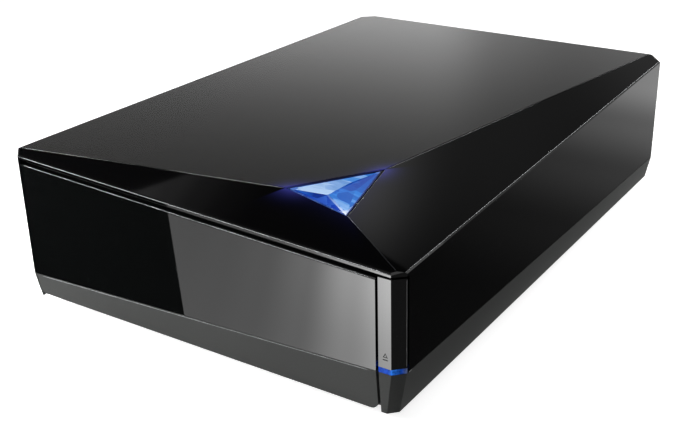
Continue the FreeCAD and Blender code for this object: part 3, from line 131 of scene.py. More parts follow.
def bareMaterial(name):
    material = bpy.data.materials.new(name)
    material.use_nodes = True
    tree = material.node_tree
    tree.nodes.clear()
    return material, tree, tree.nodes.new("ShaderNodeOutputMaterial")


def makeFloor():
    half = studio["floorSize"] / 2
    corners = [(-half, -half, 0), (half, -half, 0), (half, half, 0), (-half, half, 0)]
    floor = meshObject("floor", corners, [(0, 1, 2, 3)])
    material, tree, output = bareMaterial("floorWhite")
    both = tree.nodes.new("ShaderNodeAddShader")
    diffuse = tree.nodes.new("ShaderNodeBsdfDiffuse")
    diffuse.inputs["Color"].default_value = (*studio["floorColor"], 1)
    glow = tree.nodes.new("ShaderNodeEmission")
    away = tree.nodes.new("ShaderNodeVectorMath")
    away.operation = "LENGTH"
    tree.links.new(objectPlace(tree), away.inputs[0])
    level = rampOver(tree, away.outputs["Value"], *studio["farGlow"], (studio["floorLift"], 1.0))
    tree.links.new(times(tree, seenDirectly(tree), level), glow.inputs["Strength"])
    tree.links.new(diffuse.outputs[0], both.inputs[0])
    tree.links.new(glow.outputs[0], both.inputs[1])
    tree.links.new(both.outputs[0], output.inputs["Surface"])
    floor.data.materials.append(material)


def makeLamp(name, place, size, power):
    data = bpy.data.lights.new(name, "AREA")
    data.shape = "DISK"
    data.size = size
    data.energy = power
    item = newObject(name, data)
    item.location = place
    item.rotation_mode = "QUATERNION"
    item.rotation_quaternion = (-Vector(place)).to_track_quat("-Z", "Y")
    item.visible_glossy = False         # the cards below make the reflections


# Studio cards: seen by reflections alone, as a photographer's flags and fills are

def cardMaterial(name, level):
    # The level is one number, or a function that builds it in the card's node tree
    material, tree, output = bareMaterial(name)
    glow = tree.nodes.new("ShaderNodeEmission")
    if callable(level):
        tree.links.new(level(tree), glow.inputs["Strength"])
    else:
        glow.inputs["Strength"].default_value = level
    tree.links.new(glow.outputs[0], output.inputs["Surface"])
    return material


def objectPlace(tree):
    return tree.nodes.new("ShaderNodeTexCoord").outputs["Object"]


def placeSocket(tree, axis):
    split = tree.nodes.new("ShaderNodeSeparateXYZ")
    tree.links.new(objectPlace(tree), split.inputs[0])
    return split.outputs[axis]


def colorRamp(tree, value, low, high, stops, blend="LINEAR"):
    # Colours at their places between low and high
    spread = tree.nodes.new("ShaderNodeMapRange")
    spread.inputs["From Min"].default_value = low
    spread.inputs["From Max"].default_value = high
    tree.links.new(value, spread.inputs["Value"])
    node = tree.nodes.new("ShaderNodeValToRGB")
    ramp = node.color_ramp
    ramp.interpolation = blend
    while len(ramp.elements) < len(stops):
        ramp.elements.new(0.5)
    for i, (place, color) in enumerate(stops):
        ramp.elements[i].position = place
        ramp.elements[i].color = (*color, 1)
    tree.links.new(spread.outputs[0], node.inputs[0])
    return node.outputs[0]


def rampOver(tree, value, low, high, levels):
    # A smooth curve of levels, evenly spaced between low and high
    top = max(levels)
    stops = [(i / (len(levels) - 1), [level / top] * 3) for i, level in enumerate(levels)]
    return times(tree, colorRamp(tree, value, low, high, stops, "EASE"), top)


def mathNode(tree, operation, a, b=None, clamp=False):
    node = tree.nodes.new("ShaderNodeMath")
    node.operation = operation
    node.use_clamp = clamp
    for socket, value in zip(node.inputs, (a, b)):
        if isinstance(value, (int, float)):
            socket.default_value = value
        elif value is not None:
            tree.links.new(value, socket)
    return node.outputs[0]


def times(tree, a, b):
    return mathNode(tree, "MULTIPLY", a, b)


def plus(tree, a, b, clamp=False):
    return mathNode(tree, "ADD", a, b, clamp)


def minus(tree, a, b, clamp=False):
    return mathNode(tree, "SUBTRACT", a, b, clamp)


def addCard(name, corners, level):
    card = meshObject(name, corners, [tuple(range(len(corners)))])
    card.data.materials.append(cardMaterial(name, level))
    card.visible_camera = False
    card.visible_diffuse = False
    card.visible_transmission = False
    card.visible_shadow = False


cards = {
    "backPlace": 1.3,
    "backLeft": -3.2,
    "backRight": 0.22,
    "backTop": 1.25,
    "backSpan": (0.12, 0.95),               # heights between which the levels run
    "backLevels": (2.25, 2.25, 1.40, 0.06, 0.015, 0.012, 0.01),
    "acrossSpan": (-0.68, -0.30),
    "acrossLevels": (1.0, 0.46, 0.30, 0.35),
    # level, place across, place up, width, height
    "facetGlows": [
        (0.42, -0.56, 1.12, 0.11, 0.20),
        (0.075, -0.30, 0.92, 0.26, 0.34),
        (0.10, -0.12, 0.58, 0.12, 0.12),
    ],
    "roofFront": -0.15,
    "roofRight": 0.35,
    "roofLevels": (0.27, 0.165, 0.077, 0.026, 0.005),
    "roofSpan": (-1.06, -0.82),
    "roofEdge": (-1.0305, 0.532, 0.957),    # a point on its sharp left edge, and that edge's slope
    "roofEdgeBlur": 3 * mm,
    "roofLevel": 0.004,
    # direction, distance, width, height, level
    "lipCard": ((-0.62, -0.52, 0.56), 1.4, 1.5, 0.5, 0.25),
    "sideEdgeCard": ((0.335, 0.850, 0.405), 1.5, 0.85, 0.62, 0.45),
    "floorGap": 0.6 * mm,                   # how far the low cards lie above the floor
    "floorLeft": -0.6,
    "floorRight": 0.75,
    "floorFront": -0.6,
    "floorBack": 0.7,
    "floorFold": -0.12,                     # where the front cards meet the side card
    "objectRight": 0.084,
    "frontLevel": 0.02,
    "cornerLevel": 0.14,
    "sideSpan": (-0.10, 0.27),
    "sideLevels": (0.02, 0.02, 0.05, 0.16, 0.42, 0.95),
    "field": [(-0.1035, -0.2205), (0.0306, -0.2107), (0.083, -0.1235), (-0.0052, -0.1235)],
    "fieldLean": (0.206, 0.607),            # its left edge: a place along y, and x gained per y
    "fieldSpan": (-0.075, 0.030),
    "fieldLevels": (1.3, 1.42, 1.7, 2.7, 6.4, 10.6),
    "fieldDepth": (-0.21, -0.145),
    "fieldDepthLevels": (1.0, 0.56),
}


def bellCurve(tree, value, middle, width):
    shifted = mathNode(tree, "DIVIDE", minus(tree, value, middle), width)
    squared = times(tree, shifted, shifted)
    return mathNode(tree, "POWER", math.e, times(tree, squared, -1.0))


def backLevel(tree):
    # Bright low down behind the plate, black above, with a dim glow for the right facet
    x, z = placeSocket(tree, 0), placeSocket(tree, 2)
    low = rampOver(tree, z, *cards["backSpan"], cards["backLevels"])
    across = rampOver(tree, x, *cards["acrossSpan"], cards["acrossLevels"])
    total = times(tree, low, across)
    for spot in cards["facetGlows"]:
        total = plus(tree, total, softSpot(tree, x, z, spot))
    return total


def softSpot(tree, first, second, spot):
    level, a, b, wide, tall = spot
    both = times(tree, bellCurve(tree, first, a, wide), bellCurve(tree, second, b, tall))
    return times(tree, both, level)


def roofLevel(tree):
    # A dim field with one sharp slanted edge, seen in the front facet
    x, y = placeSocket(tree, 0), placeSocket(tree, 1)
    edgeX, edgeY, slope = cards["roofEdge"]
    rise = times(tree, minus(tree, x, edgeX), slope)
    line = plus(tree, rise, edgeY)
    inside = mathNode(tree, "DIVIDE", minus(tree, line, y), cards["roofEdgeBlur"], True)
    level = rampOver(tree, x, *cards["roofSpan"], cards["roofLevels"])
    return mathNode(tree, "MAXIMUM", times(tree, inside, level), cards["roofLevel"])


def fieldLevel(tree):
    # Brighter to the right, and less so towards the object
    c = cards
    x, y = placeSocket(tree, 0), placeSocket(tree, 1)
    start, gain = c["fieldLean"]
    across = minus(tree, x, times(tree, plus(tree, y, start), gain))
    level = rampOver(tree, across, *c["fieldSpan"], c["fieldLevels"])
    depth = rampOver(tree, y, *c["fieldDepth"], c["fieldDepthLevels"])
    least = c["fieldLevels"][0]
    bright = minus(tree, level, least)
    return plus(tree, times(tree, bright, depth), least)


def sideLevel(tree):
    return rampOver(tree, placeSocket(tree, 1), *cards["sideSpan"], cards["sideLevels"])


def facingCard(name, direction, distance, width, height, level):
    # A card square to a line out from the object, with two edges level
    out = Vector(direction).normalized()
    across = out.cross(Vector((0, 0, 1))).normalized()
    up = across.cross(out)
    middle = out * distance
    signs = ((-1, -1), (1, -1), (1, 1), (-1, 1))
    corners = [middle + across * (a * width / 2) + up * (b * height / 2) for a, b in signs]
    addCard(name, corners, level)


def lyingCard(name, left, right, front, back, level):
    z = cards["floorGap"]
    addCard(name, [(left, front, z), (right, front, z), (right, back, z), (left, back, z)], level)


def makeCards():
    c = cards
    y, top = c["backPlace"], c["backTop"]
    left, right = c["backLeft"], c["backRight"]
    addCard("cardBack", [(left, y, 0.0), (right, y, 0.0), (right, y, top), (left, y, top)], backLevel)
    right, front = c["roofRight"], c["roofFront"]
    addCard("cardRoof", [(left, front, top), (right, front, top), (right, y, top), (left, y, top)], roofLevel)
    facingCard("cardEdge", *c["lipCard"])
    facingCard("cardSideEdge", *c["sideEdgeCard"])
    # Floor to the right: dark in front, pale towards the back
    left, middle, right = c["floorLeft"], c["objectRight"], c["floorRight"]
    front, fold = c["floorFront"], c["floorFold"]
    lyingCard("cardSide", middle, right, fold, c["floorBack"], sideLevel)
    lyingCard("cardCorner", middle, right, front, fold, c["cornerLevel"])
    # Floor in front: dark, with one pale slanted field on the right
    lyingCard("cardFront", left, middle, front, fold, c["frontLevel"])
    addCard("cardField", [(px, py, 2 * c["floorGap"]) for px, py in c["field"]], fieldLevel)


makeCamera()
makeWorld()
makeFloor()
for lamp in studio["lamps"]:
    makeLamp(*lamp)
makeCards()
bpy.context.scene.view_settings.view_transform = "Standard"
print("camera and studio ready")

# Effects that several materials share


def newGroup(name, inputs, outputs):
    group = bpy.data.node_groups.new(name, "ShaderNodeTree")
    for label, kind, value in inputs:
        socket = group.interface.new_socket(label, in_out="INPUT", socket_type=kind)
        socket.default_value = value
    for label, kind in outputs:
        group.interface.new_socket(label, in_out="OUTPUT", socket_type=kind)
    return group, group.nodes.new("NodeGroupInput"), group.nodes.new("NodeGroupOutput")


number, color4 = "NodeSocketFloat", "NodeSocketColor"
surface = [("Color", color4), ("Roughness", number), ("Height", number)]


def noiseNode(tree, vector, scale, detail=2.0, rough=0.5):
    node = tree.nodes.new("ShaderNodeTexNoise")
    tree.links.new(vector, node.inputs["Vector"])
    if isinstance(scale, (int, float)):
        node.inputs["Scale"].default_value = scale
    else:
        tree.links.new(scale, node.inputs["Scale"])
    node.inputs["Detail"].default_value = detail
    node.inputs["Roughness"].default_value = rough
    return node.outputs["Fac"]


def spreadAround(tree, fac, amount):
    # 1 plus or minus an amount, from a 0 to 1 noise
    centred = times(tree, minus(tree, fac, 0.5), 2.0)
    return plus(tree, times(tree, centred, amount), 1.0)


def scaledColor(tree, color, factor):
    node = tree.nodes.new("ShaderNodeVectorMath")
    node.operation = "SCALE"
    tree.links.new(color, node.inputs[0])
    tree.links.new(factor, node.inputs["Scale"])
    return node.outputs[0]


def colorNode(tree, color):
    node = tree.nodes.new("ShaderNodeRGB")
    node.outputs[0].default_value = color
    return node.outputs[0]


def putOut(group, out, color, rough, height):
    for label, value in (("Color", color), ("Roughness", rough), ("Height", height)):
        group.links.new(value, out.inputs[label])
    return group


texture = {
    "driftScale": 18.0, "drift": 0.06,
    "smearScale": 26.0, "smearFrom": 0.45, "smearGain": 2.0,
    "dustScale": 900.0, "dust": 0.25,
    "waveScale": 60.0,
    "lineScale": 1500.0, "line": 0.3,
    "patchScale": 45.0, "patch": 0.12,
}


def buildMouldedGrain():
    # Fine moulded texture with a slow drift in tone
    group, into, out = newGroup("mouldedGrain", [
        ("Color", color4, (0.05, 0.05, 0.05, 1)), ("Roughness", number, 0.5), ("Grain Scale", number, 2500.0),
        ("Color Spread", number, 0.1), ("Roughness Spread", number, 0.1),
    ], surface)
    coord = objectPlace(group)
    fine = noiseNode(group, coord, into.outputs["Grain Scale"], 3.0, 0.6)
    slow = noiseNode(group, coord, texture["driftScale"])
    tone = times(group, spreadAround(group, fine, into.outputs["Color Spread"]),
                 spreadAround(group, slow, texture["drift"]))
    rough = times(group, into.outputs["Roughness"],
                  spreadAround(group, fine, into.outputs["Roughness Spread"]))
    return putOut(group, out, scaledColor(group, into.outputs["Color"], tone), rough, fine)


def buildGlossFinish():
    # Polished plastic: faint haze where hands touch, and a slight waviness
    group, into, out = newGroup("glossFinish", [
        ("Color", color4, (0.01, 0.01, 0.01, 1)), ("Roughness", number, 0.05), ("Haze", number, 0.04),
        ("Color Spread", number, 0.1),
    ], surface)
    coord = objectPlace(group)
    smear = noiseNode(group, coord, texture["smearScale"], 4.0, 0.6)
    dust = noiseNode(group, coord, texture["dustScale"])
    wave = noiseNode(group, coord, texture["waveScale"], 1.0)
    soft = times(group, minus(group, smear, texture["smearFrom"], True), into.outputs["Haze"])
    rough = plus(group, into.outputs["Roughness"], times(group, soft, texture["smearGain"]))
    rough = times(group, rough, spreadAround(group, dust, texture["dust"]))
    tone = spreadAround(group, dust, into.outputs["Color Spread"])
    return putOut(group, out, scaledColor(group, into.outputs["Color"], tone), rough, wave)


def buildMetalGrain():
    # Drawn or brushed metal: long thin lines along one axis
    group, into, out = newGroup("metalGrain", [
        ("Color", color4, (0.6, 0.6, 0.6, 1)), ("Roughness", number, 0.3), ("Stretch X", number, 1.0),
        ("Stretch Y", number, 1.0), ("Stretch Z", number, 1.0), ("Contrast", number, 0.2),
    ], surface)
    coord = objectPlace(group)
    stretch = group.nodes.new("ShaderNodeCombineXYZ")
    for axis, label in enumerate(("Stretch X", "Stretch Y", "Stretch Z")):
        group.links.new(into.outputs[label], stretch.inputs[axis])
    scaled = group.nodes.new("ShaderNodeVectorMath")
    scaled.operation = "MULTIPLY"
    group.links.new(coord, scaled.inputs[0])
    group.links.new(stretch.outputs[0], scaled.inputs[1])
    lines = noiseNode(group, scaled.outputs[0], texture["lineScale"], 3.0, 0.6)
    patches = noiseNode(group, coord, texture["patchScale"], 3.0)
    tone = times(group, spreadAround(group, lines, into.outputs["Contrast"]),
                 spreadAround(group, patches, texture["patch"]))
    rough = times(group, into.outputs["Roughness"], spreadAround(group, lines, texture["line"]))
    return putOut(group, out, scaledColor(group, into.outputs["Color"], tone), rough, lines)


mouldedGrain = buildMouldedGrain()
glossFinish = buildGlossFinish()
metalGrain = buildMetalGrain()


# The stone's corners, read from the node that it stands for

stone = {
    "gapTop": 0.42 * mm,        # between the plate and the stone
    "gapFront": 0.10 * mm,
    "gapRight": 0.42 * mm,
    "crease": 0.55 * mm,
    "shellDrop": 0.03 * mm,
    "coreInset": 0.55 * mm,
    "coreDrop": 0.45 * mm,
    "creaseCore": 0.40 * mm,
    "rimBevel": 0.13 * mm,
    "glintLift": 0.12 * mm,
    "glintShare": 0.8,          # of the core's inset and drop
    "glintLean": 0.45,
    "footLift": 0.05 * mm,
    "glowReach": 2.8 * mm,
    "cornerReach": 6.6 * mm,
    "glowStart": (0.12 * mm, 0.3 * mm),     # the glow begins this far out, and is full after the second
    "glowTopFade": 0.2 * mm,
    "spotLevel": 0.62,
    "edgeLevel": 0.05,
    "glowColor": (0.050, 0.055, 0.36, 1),
    "depthColor": (0.004, 0.008, 0.04, 1),
    "glassColor": (0.90, 0.94, 1.0, 1),
    "speckScale": 900.0,
    "speck": 0.05,
    "polish": 0.02,
    "toneStops": (0.30, 0.62, 0.95),
    "sliverShare": 0.45,
    "streakShare": 0.42,
    "streakScale": 2.2,         # beside the slivers' scale
    "thinning": 0.6,
}


def readStone():
    points = [v.co.copy() for v in frame["nodes"]["crystal_lens"].data.vertices]
    low = min(p.z for p in points)
    top = [p for p in points if p.z > low + 0.5 * mm]
    corner = {
        "left": min(top, key=lambda p: p.x),
        "back": max(top, key=lambda p: p.y),
        "front": min(top, key=lambda p: p.y),
    }
    rest = [p for p in top if all((p - q).length > 2 * mm for q in corner.values())]
    corner["apex"] = max(rest, key=lambda p: p.z - 0.01 * p.y)
    stone["low"] = low
    stone["corner"] = corner
    print("stone corners", {name: [round(v / mm, 2) for v in p] for name, p in corner.items()})


readStone()


def edgeLine(a, b):
    # Outward direction and offset of a plan line, corners taken clockwise
    along = (b - a).to_2d().normalized()
    out = Vector((along.y, -along.x))
    return out, out.dot(a.to_2d())


def buildStoneGlow():
    # Painted light: the stone's blue spill painted onto what is round it, strongest at two corners
    group, into, out = newGroup("stoneGlow", [
        ("Strength", number, 1.0), ("Past Top Edge", number, 1.0),
    ], [("Color", color4)])
    x, y = placeSocket(group, 0), placeSocket(group, 1)
    corner = stone["corner"]
    gaps = []
    for first, second in (("left", "front"), ("front", "back"), ("back", "left")):
        away, offset = edgeLine(corner[first], corner[second])
        total = plus(group, times(group, x, away.x), times(group, y, away.y))
        gaps.append(minus(group, total, offset))
    outside = mathNode(group, "MAXIMUM", mathNode(group, "MAXIMUM", gaps[0], gaps[1]),
                       mathNode(group, "MAXIMUM", gaps[2], 0.0))
    near = mathNode(group, "POWER", math.e, mathNode(group, "DIVIDE", outside, -stone["glowReach"]))
    spots = None
    for name in ("left", "back"):
        p = corner[name]
        spot = times(group, bellCurve(group, x, p.x, stone["cornerReach"]),
                     bellCurve(group, y, p.y, stone["cornerReach"]))
        spots = spot if spots is None else plus(group, spots, spot)
    start, full = stone["glowStart"]
    beyond = mathNode(group, "DIVIDE", minus(group, outside, start), full, True)
    near = times(group, near, beyond)
    past = mathNode(group, "DIVIDE", gaps[2], stone["glowTopFade"], True)
    held = times(group, past, minus(group, 1.0, into.outputs["Past Top Edge"]))
    near = times(group, near, minus(group, 1.0, held))
    spots = times(group, spots, stone["spotLevel"])
    level = times(group, near, plus(group, spots, stone["edgeLevel"]))
    level = times(group, level, into.outputs["Strength"])
    group.links.new(scaledColor(group, colorNode(group, stone["glowColor"]), level), out.inputs["Color"])
    return group


stoneGlow = buildStoneGlow()


def newMaterial(name, finish=None, values=None, bump=0.0, bumpDistance=0.0, **sockets):
    material = bpy.data.materials.new(name)
    material.use_nodes = True
    tree = material.node_tree
    shader = tree.nodes["Principled BSDF"]
    for label, value in sockets.items():
        shader.inputs[label.replace("_", " ")].default_value = value
    if finish is not None:
        group = tree.nodes.new("ShaderNodeGroup")
        group.node_tree = finish
        for label, value in values.items():
            group.inputs[label].default_value = value
        tree.links.new(group.outputs["Color"], shader.inputs["Base Color"])
        tree.links.new(group.outputs["Roughness"], shader.inputs["Roughness"])
        node = tree.nodes.new("ShaderNodeBump")
        node.inputs["Strength"].default_value = bump
        node.inputs["Distance"].default_value = bumpDistance
        tree.links.new(group.outputs["Height"], node.inputs["Height"])
        tree.links.new(node.outputs[0], shader.inputs["Normal"])
    return material


def addGlow(material, strength, pastTopEdge):
    # The stone's light painted on what is round it, with or without the part past its top edge
    tree = material.node_tree
    shader = tree.nodes["Principled BSDF"]
    group = tree.nodes.new("ShaderNodeGroup")
    group.node_tree = stoneGlow
    group.inputs["Strength"].default_value = strength
    group.inputs["Past Top Edge"].default_value = pastTopEdge
    tree.links.new(group.outputs["Color"], shader.inputs["Emission Color"])
    shader.inputs["Emission Strength"].default_value = 1.0
    return material


def rgb(r, g, b):
    return (r, g, b, 1)


# The outer parts' finishes: group, its values, bump strength and distance
outerFinishes = {
    "glossBlack": (glossFinish, {
        "Color": rgb(0.0012, 0.0012, 0.0013), "Roughness": 0.03, "Haze": 0.03, "Color Spread": 0.2,
    }, 0.012, 0.4 * mm),
    "mirrorPanel": (glossFinish, {
        "Color": rgb(0.0012, 0.0014, 0.0014), "Roughness": 0.02, "Haze": 0.012, "Color Spread": 0.2,
    }, 0.004, 0.3 * mm),
    "satinPlate": (mouldedGrain, {
        "Color": rgb(0.0115, 0.0115, 0.011), "Roughness": 0.225, "Grain Scale": 2600.0,
        "Color Spread": 0.12, "Roughness Spread": 0.10,
    }, 0.10, 0.04 * mm),
    "matteBand": (mouldedGrain, {
        "Color": rgb(0.044, 0.045, 0.044), "Roughness": 0.66, "Grain Scale": 1900.0,
        "Color Spread": 0.16, "Roughness Spread": 0.12,
    }, 0.25, 0.06 * mm),
}


def glossBlack():
    return addGlow(newMaterial("glossBlack", *outerFinishes["glossBlack"]), 0.9, 0.0)


def mirrorPanel(name="mirrorPanel"):
    return newMaterial(name, *outerFinishes["mirrorPanel"])


def satinPlate():
    return addGlow(newMaterial("satinPlate", *outerFinishes["satinPlate"]), 1.0, 1.0)


def matteBand():
    return newMaterial("matteBand", *outerFinishes["matteBand"], Specular_IOR_Level=0.06)


def plasticOf(name, color, rough, grain, bump):
    values = {"Color": rgb(*color), "Roughness": rough, "Grain Scale": grain, "Color Spread": 0.1,
              "Roughness Spread": 0.15}
    return newMaterial(name, mouldedGrain, values, bump, 0.05 * mm)


def metalOf(name, color, rough, stretch, contrast):
    values = {"Color": rgb(*color), "Roughness": rough, "Stretch X": stretch[0], "Stretch Y": stretch[1],
              "Stretch Z": stretch[2], "Contrast": contrast}
    return newMaterial(name, metalGrain, values, 0.12, 0.04 * mm, Metallic=1.0)


def paintOver(tree, share, color):
    # A second colour over the base colour
    shader = tree.nodes["Principled BSDF"]
    mix = tree.nodes.new("ShaderNodeMix")
    mix.data_type = "RGBA"
    tree.links.new(share, mix.inputs["Factor"])
    tree.links.new(shader.inputs["Base Color"].links[0].from_socket, mix.inputs["A"])
    mix.inputs["B"].default_value = color
    tree.links.new(mix.outputs["Result"], shader.inputs["Base Color"])


board = {
    "mask": (0.012, 0.085, 0.045),
    "traces": rgb(0.03, 0.17, 0.08),
    "traceScale": 260.0,
    "traceWidth": 0.06,
}


def circuitBoard():
    # Solder mask with paler traces under it
    material = plasticOf("circuitBoard", board["mask"], 0.32, 900.0, 0.1)
    tree = material.node_tree
    tracks = tree.nodes.new("ShaderNodeTexBrick")
    tracks.inputs["Scale"].default_value = board["traceScale"]
    tracks.inputs["Mortar Size"].default_value = board["traceWidth"]
    for label, level in (("Color1", 0.0), ("Color2", 0.0), ("Mortar", 1.0)):
        tracks.inputs[label].default_value = rgb(level, level, level)
    tree.links.new(objectPlace(tree), tracks.inputs["Vector"])
    paintOver(tree, tracks.outputs["Color"], board["traces"])
    return material


guide = {
    "color": rgb(0.003, 0.015, 0.08),
    # place along the guide, and the light given off there
    "stops": [
        (0.0, (0.002, 0.045, 0.46)), (0.22, (0.008, 0.05, 0.34)), (0.42, (0.003, 0.04, 0.34)),
        (0.58, (0.02, 0.15, 0.62)), (0.84, (0.001, 0.03, 0.22)), (1.0, (0.05, 0.06, 0.09)),
    ],
    "mottleScale": 700.0,
    "mottle": 1.9,
}


def lightGuide():
    # Lit from behind the corner: palest there, fading towards both ends
    material = newMaterial("lightGuide", Roughness=0.25, Specular_IOR_Level=0.03)
    tree = material.node_tree
    shader = tree.nodes["Principled BSDF"]
    shader.inputs["Base Color"].default_value = guide["color"]
    low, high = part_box("key_light_guide")
    light = colorRamp(tree, placeSocket(tree, 0), low.x, high.x, guide["stops"])
    mottle = noiseNode(tree, objectPlace(tree), guide["mottleScale"], 3.0, 0.7)
    mottle = spreadAround(tree, mottle, guide["mottle"])
    tree.links.new(scaledColor(tree, light, mottle), shader.inputs["Emission Color"])
    shader.inputs["Emission Strength"].default_value = 1.0
    return material


# colour, roughness, grain scale, bump
plastics = {
    "rubber": ("rubber", (0.018, 0.018, 0.018), 0.75, 1200.0, 0.35),
    "drive_black": ("driveBlack", (0.022, 0.022, 0.023), 0.5, 1600.0, 0.2),
    "tray_black": ("trayBlack", (0.028, 0.028, 0.029), 0.42, 1400.0, 0.3),
    "white_plastic": ("whitePlastic", (0.72, 0.71, 0.67), 0.4, 1600.0, 0.2),
    "pom": ("gearPlastic", (0.78, 0.76, 0.70), 0.33, 900.0, 0.1),
    "chip": ("chipBlack", (0.028, 0.028, 0.031), 0.55, 2400.0, 0.2),
    "lens": ("lensCoating", (0.10, 0.16, 0.30), 0.08, 600.0, 0.02),
    "wire": ("wireBlack", (0.02, 0.02, 0.02), 0.5, 800.0, 0.1),
}
# colour, roughness, how the grain is stretched, contrast
metals = {
    "steel": ("steel", (0.62, 0.63, 0.64), 0.28, (1, 0.05, 1), 0.18),
    "sheet_steel": ("sheetSteel", (0.50, 0.51, 0.52), 0.42, (1, 0.06, 1), 0.12),
    "die_cast": ("dieCast", (0.52, 0.53, 0.54), 0.48, (1, 1, 1), 0.15),
    "socket_metal": ("socketMetal", (0.70, 0.70, 0.69), 0.22, (1, 0.1, 1), 0.1),
}
ownMaterials = {
    "gloss_black": glossBlack,
    "mirror_panel": mirrorPanel,
    "satin_plate": satinPlate,
    "matte_band": matteBand,
    "light_guide": lightGuide,
    "circuit_board": circuitBoard,
}


def slotMaterial(name):
    if name in ownMaterials:
        return ownMaterials[name]()
    if name in plastics:
        return plasticOf(*plastics[name])
    return metalOf(*metals[name])


def dressNodes():
    # Every slot but the crystal's, whose node the stone below stands for
    made = {}
    for row in frame["record"]["subparts"]:
        name = row["material_slot"]
        if name == "crystal":
            continue
        if name not in made:
            made[name] = slotMaterial(name)
        for place in frame["nodes"][row["node"]].material_slots:
            place.material = made[name]
    return made


dressed = dressNodes()
print("materials on", len(dressed), "slots")

# Stone


def finishMesh(name, mesh):
    data = bpy.data.meshes.new(name)
    mesh.to_mesh(data)
    mesh.free()
    return newObject(name, data)


def meetingPoint(first, second):
    # Where two plan lines, each an outward direction and an offset, cross
    (a, p), (b, q) = first, second
    det = a.x * b.y - a.y * b.x
    return Vector(((p * b.y - q * a.y) / det, (a.x * q - b.x * p) / det))


def facetHeight(p, facet):
    a, b, c = facet
    normal = (b - a).cross(c - a)
    return a.z - (normal.x * (p.x - a.x) + normal.y * (p.y - a.y)) / normal.z


def stoneOutline(inset, drop):
    # The stone's top points, drawn in from the opening's edges and set down
    c = stone["corner"]
    gaps = {"top": stone["gapTop"], "front": stone["gapFront"], "right": stone["gapRight"]}
    lines = {}
    sides = (("front", "left", "front"), ("right", "front", "back"), ("top", "back", "left"))
    for name, first, second in sides:
        away, offset = edgeLine(c[first], c[second])
        lines[name] = (away, offset - gaps[name] - inset)
    plan = {
        "left": meetingPoint(lines["top"], lines["front"]),
        "front": meetingPoint(lines["front"], lines["right"]),
        "back": meetingPoint(lines["right"], lines["top"]),
        "apex": c["apex"].to_2d(),
    }
    planes = {"left": (c["left"], c["front"], c["apex"]), "back": (c["front"], c["back"], c["apex"])}
    points = {}
    for name, p in plan.items():
        heights = [facetHeight(p, planes["left"]), facetHeight(p, planes["back"]), c["apex"].z]
        height = {"left": min(heights[0], heights[2]), "back": min(heights[1], heights[2]),
                  "front": min(heights[0], heights[1]), "apex": c["apex"].z}[name]
        points[name] = Vector((p.x, p.y, height - drop))
    return points


def weighted(top, **shares):
    return sum((top[k] * share for k, share in shares.items()), Vector((0, 0, 0)))


# Places in the core's list of materials, beside those of its facets
skirtSlot, creaseSlot, rimSlot = 3, 4, 5


def stoneShape(name, inset, drop, facets, inner, crease):
    # Facets by named corners over an upright skirt; inner points are shares of the corners, set down a little
    top = stoneOutline(inset, drop)
    for key, (sink, shares) in inner.items():
        top[key] = weighted(top, **shares) - Vector((0, 0, sink))
    mesh = bmesh.new()
    high = {key: mesh.verts.new(p) for key, p in top.items()}
    foot = stone["low"] + stone["footLift"] + inset * 0.2
    rim = ["left", "front", "back"] + [key for key in ("ridge",) if key in top]
    low = {key: mesh.verts.new((top[key].x, top[key].y, foot)) for key in rim}
    for keys, slot in facets:
        mesh.faces.new([high[k] for k in keys]).material_index = slot
    for a, b in zip(rim, rim[1:] + rim[:1]):
        mesh.faces.new([high[a], low[a], low[b], high[b]]).material_index = skirtSlot
    mesh.faces.new([low[k] for k in reversed(rim)]).material_index = skirtSlot
    bmesh.ops.recalc_face_normals(mesh, faces=mesh.faces)
    edge = mesh.edges.get((high["apex"], high["front"]))
    if edge:
        bmesh.ops.bevel(mesh, geom=[edge], offset=crease, segments=1, affect="EDGES", material=creaseSlot)
    rims = [e for e in mesh.edges if len(e.link_faces) == 2
            and sorted(f.material_index == skirtSlot for f in e.link_faces) == [False, True]]
    bmesh.ops.bevel(mesh, geom=rims, offset=stone["rimBevel"], segments=1, affect="EDGES", material=rimSlot)
    return finishMesh(name, mesh)


shellFacets = [(("left", "apex", "back"), 0), (("left", "front", "apex"), 1), (("front", "back", "apex"), 2)]
coreInner = {
    "ridge": (0.0, {"left": 0.45, "back": 0.55}),
    "spur": (0.10 * mm, {"apex": 0.40, "back": 0.50, "left": 0.10}),
    "shard": (0.22 * mm, {"apex": 0.30, "back": 0.42, "front": 0.28}),
    "chip": (0.20 * mm, {"left": 0.42, "front": 0.30, "apex": 0.28}),
}
coreFacets = [
    (("left", "apex", "spur", "ridge"), 0), (("ridge", "spur", "back"), 6), (("spur", "apex", "back"), 7),
    (("left", "front", "chip"), 1), (("left", "chip", "apex"), 8), (("chip", "front", "apex"), 1),
    (("apex", "shard", "back"), 7), (("apex", "front", "shard"), 2), (("shard", "front", "back"), 9),
]


def stoneGlass():
    # Clear stone: fine polishing lines and a few small inclusions
    material = newMaterial("stoneGlass", IOR=1.47, Transmission_Weight=1.0)
    tree = material.node_tree
    shader = tree.nodes["Principled BSDF"]
    specks = noiseNode(tree, objectPlace(tree), stone["speckScale"])
    speckled = spreadAround(tree, specks, stone["speck"])
    color = scaledColor(tree, colorNode(tree, stone["glassColor"]), speckled)
    tree.links.new(color, shader.inputs["Base Color"])
    tree.links.new(times(tree, specks, stone["polish"]), shader.inputs["Roughness"])
    return material


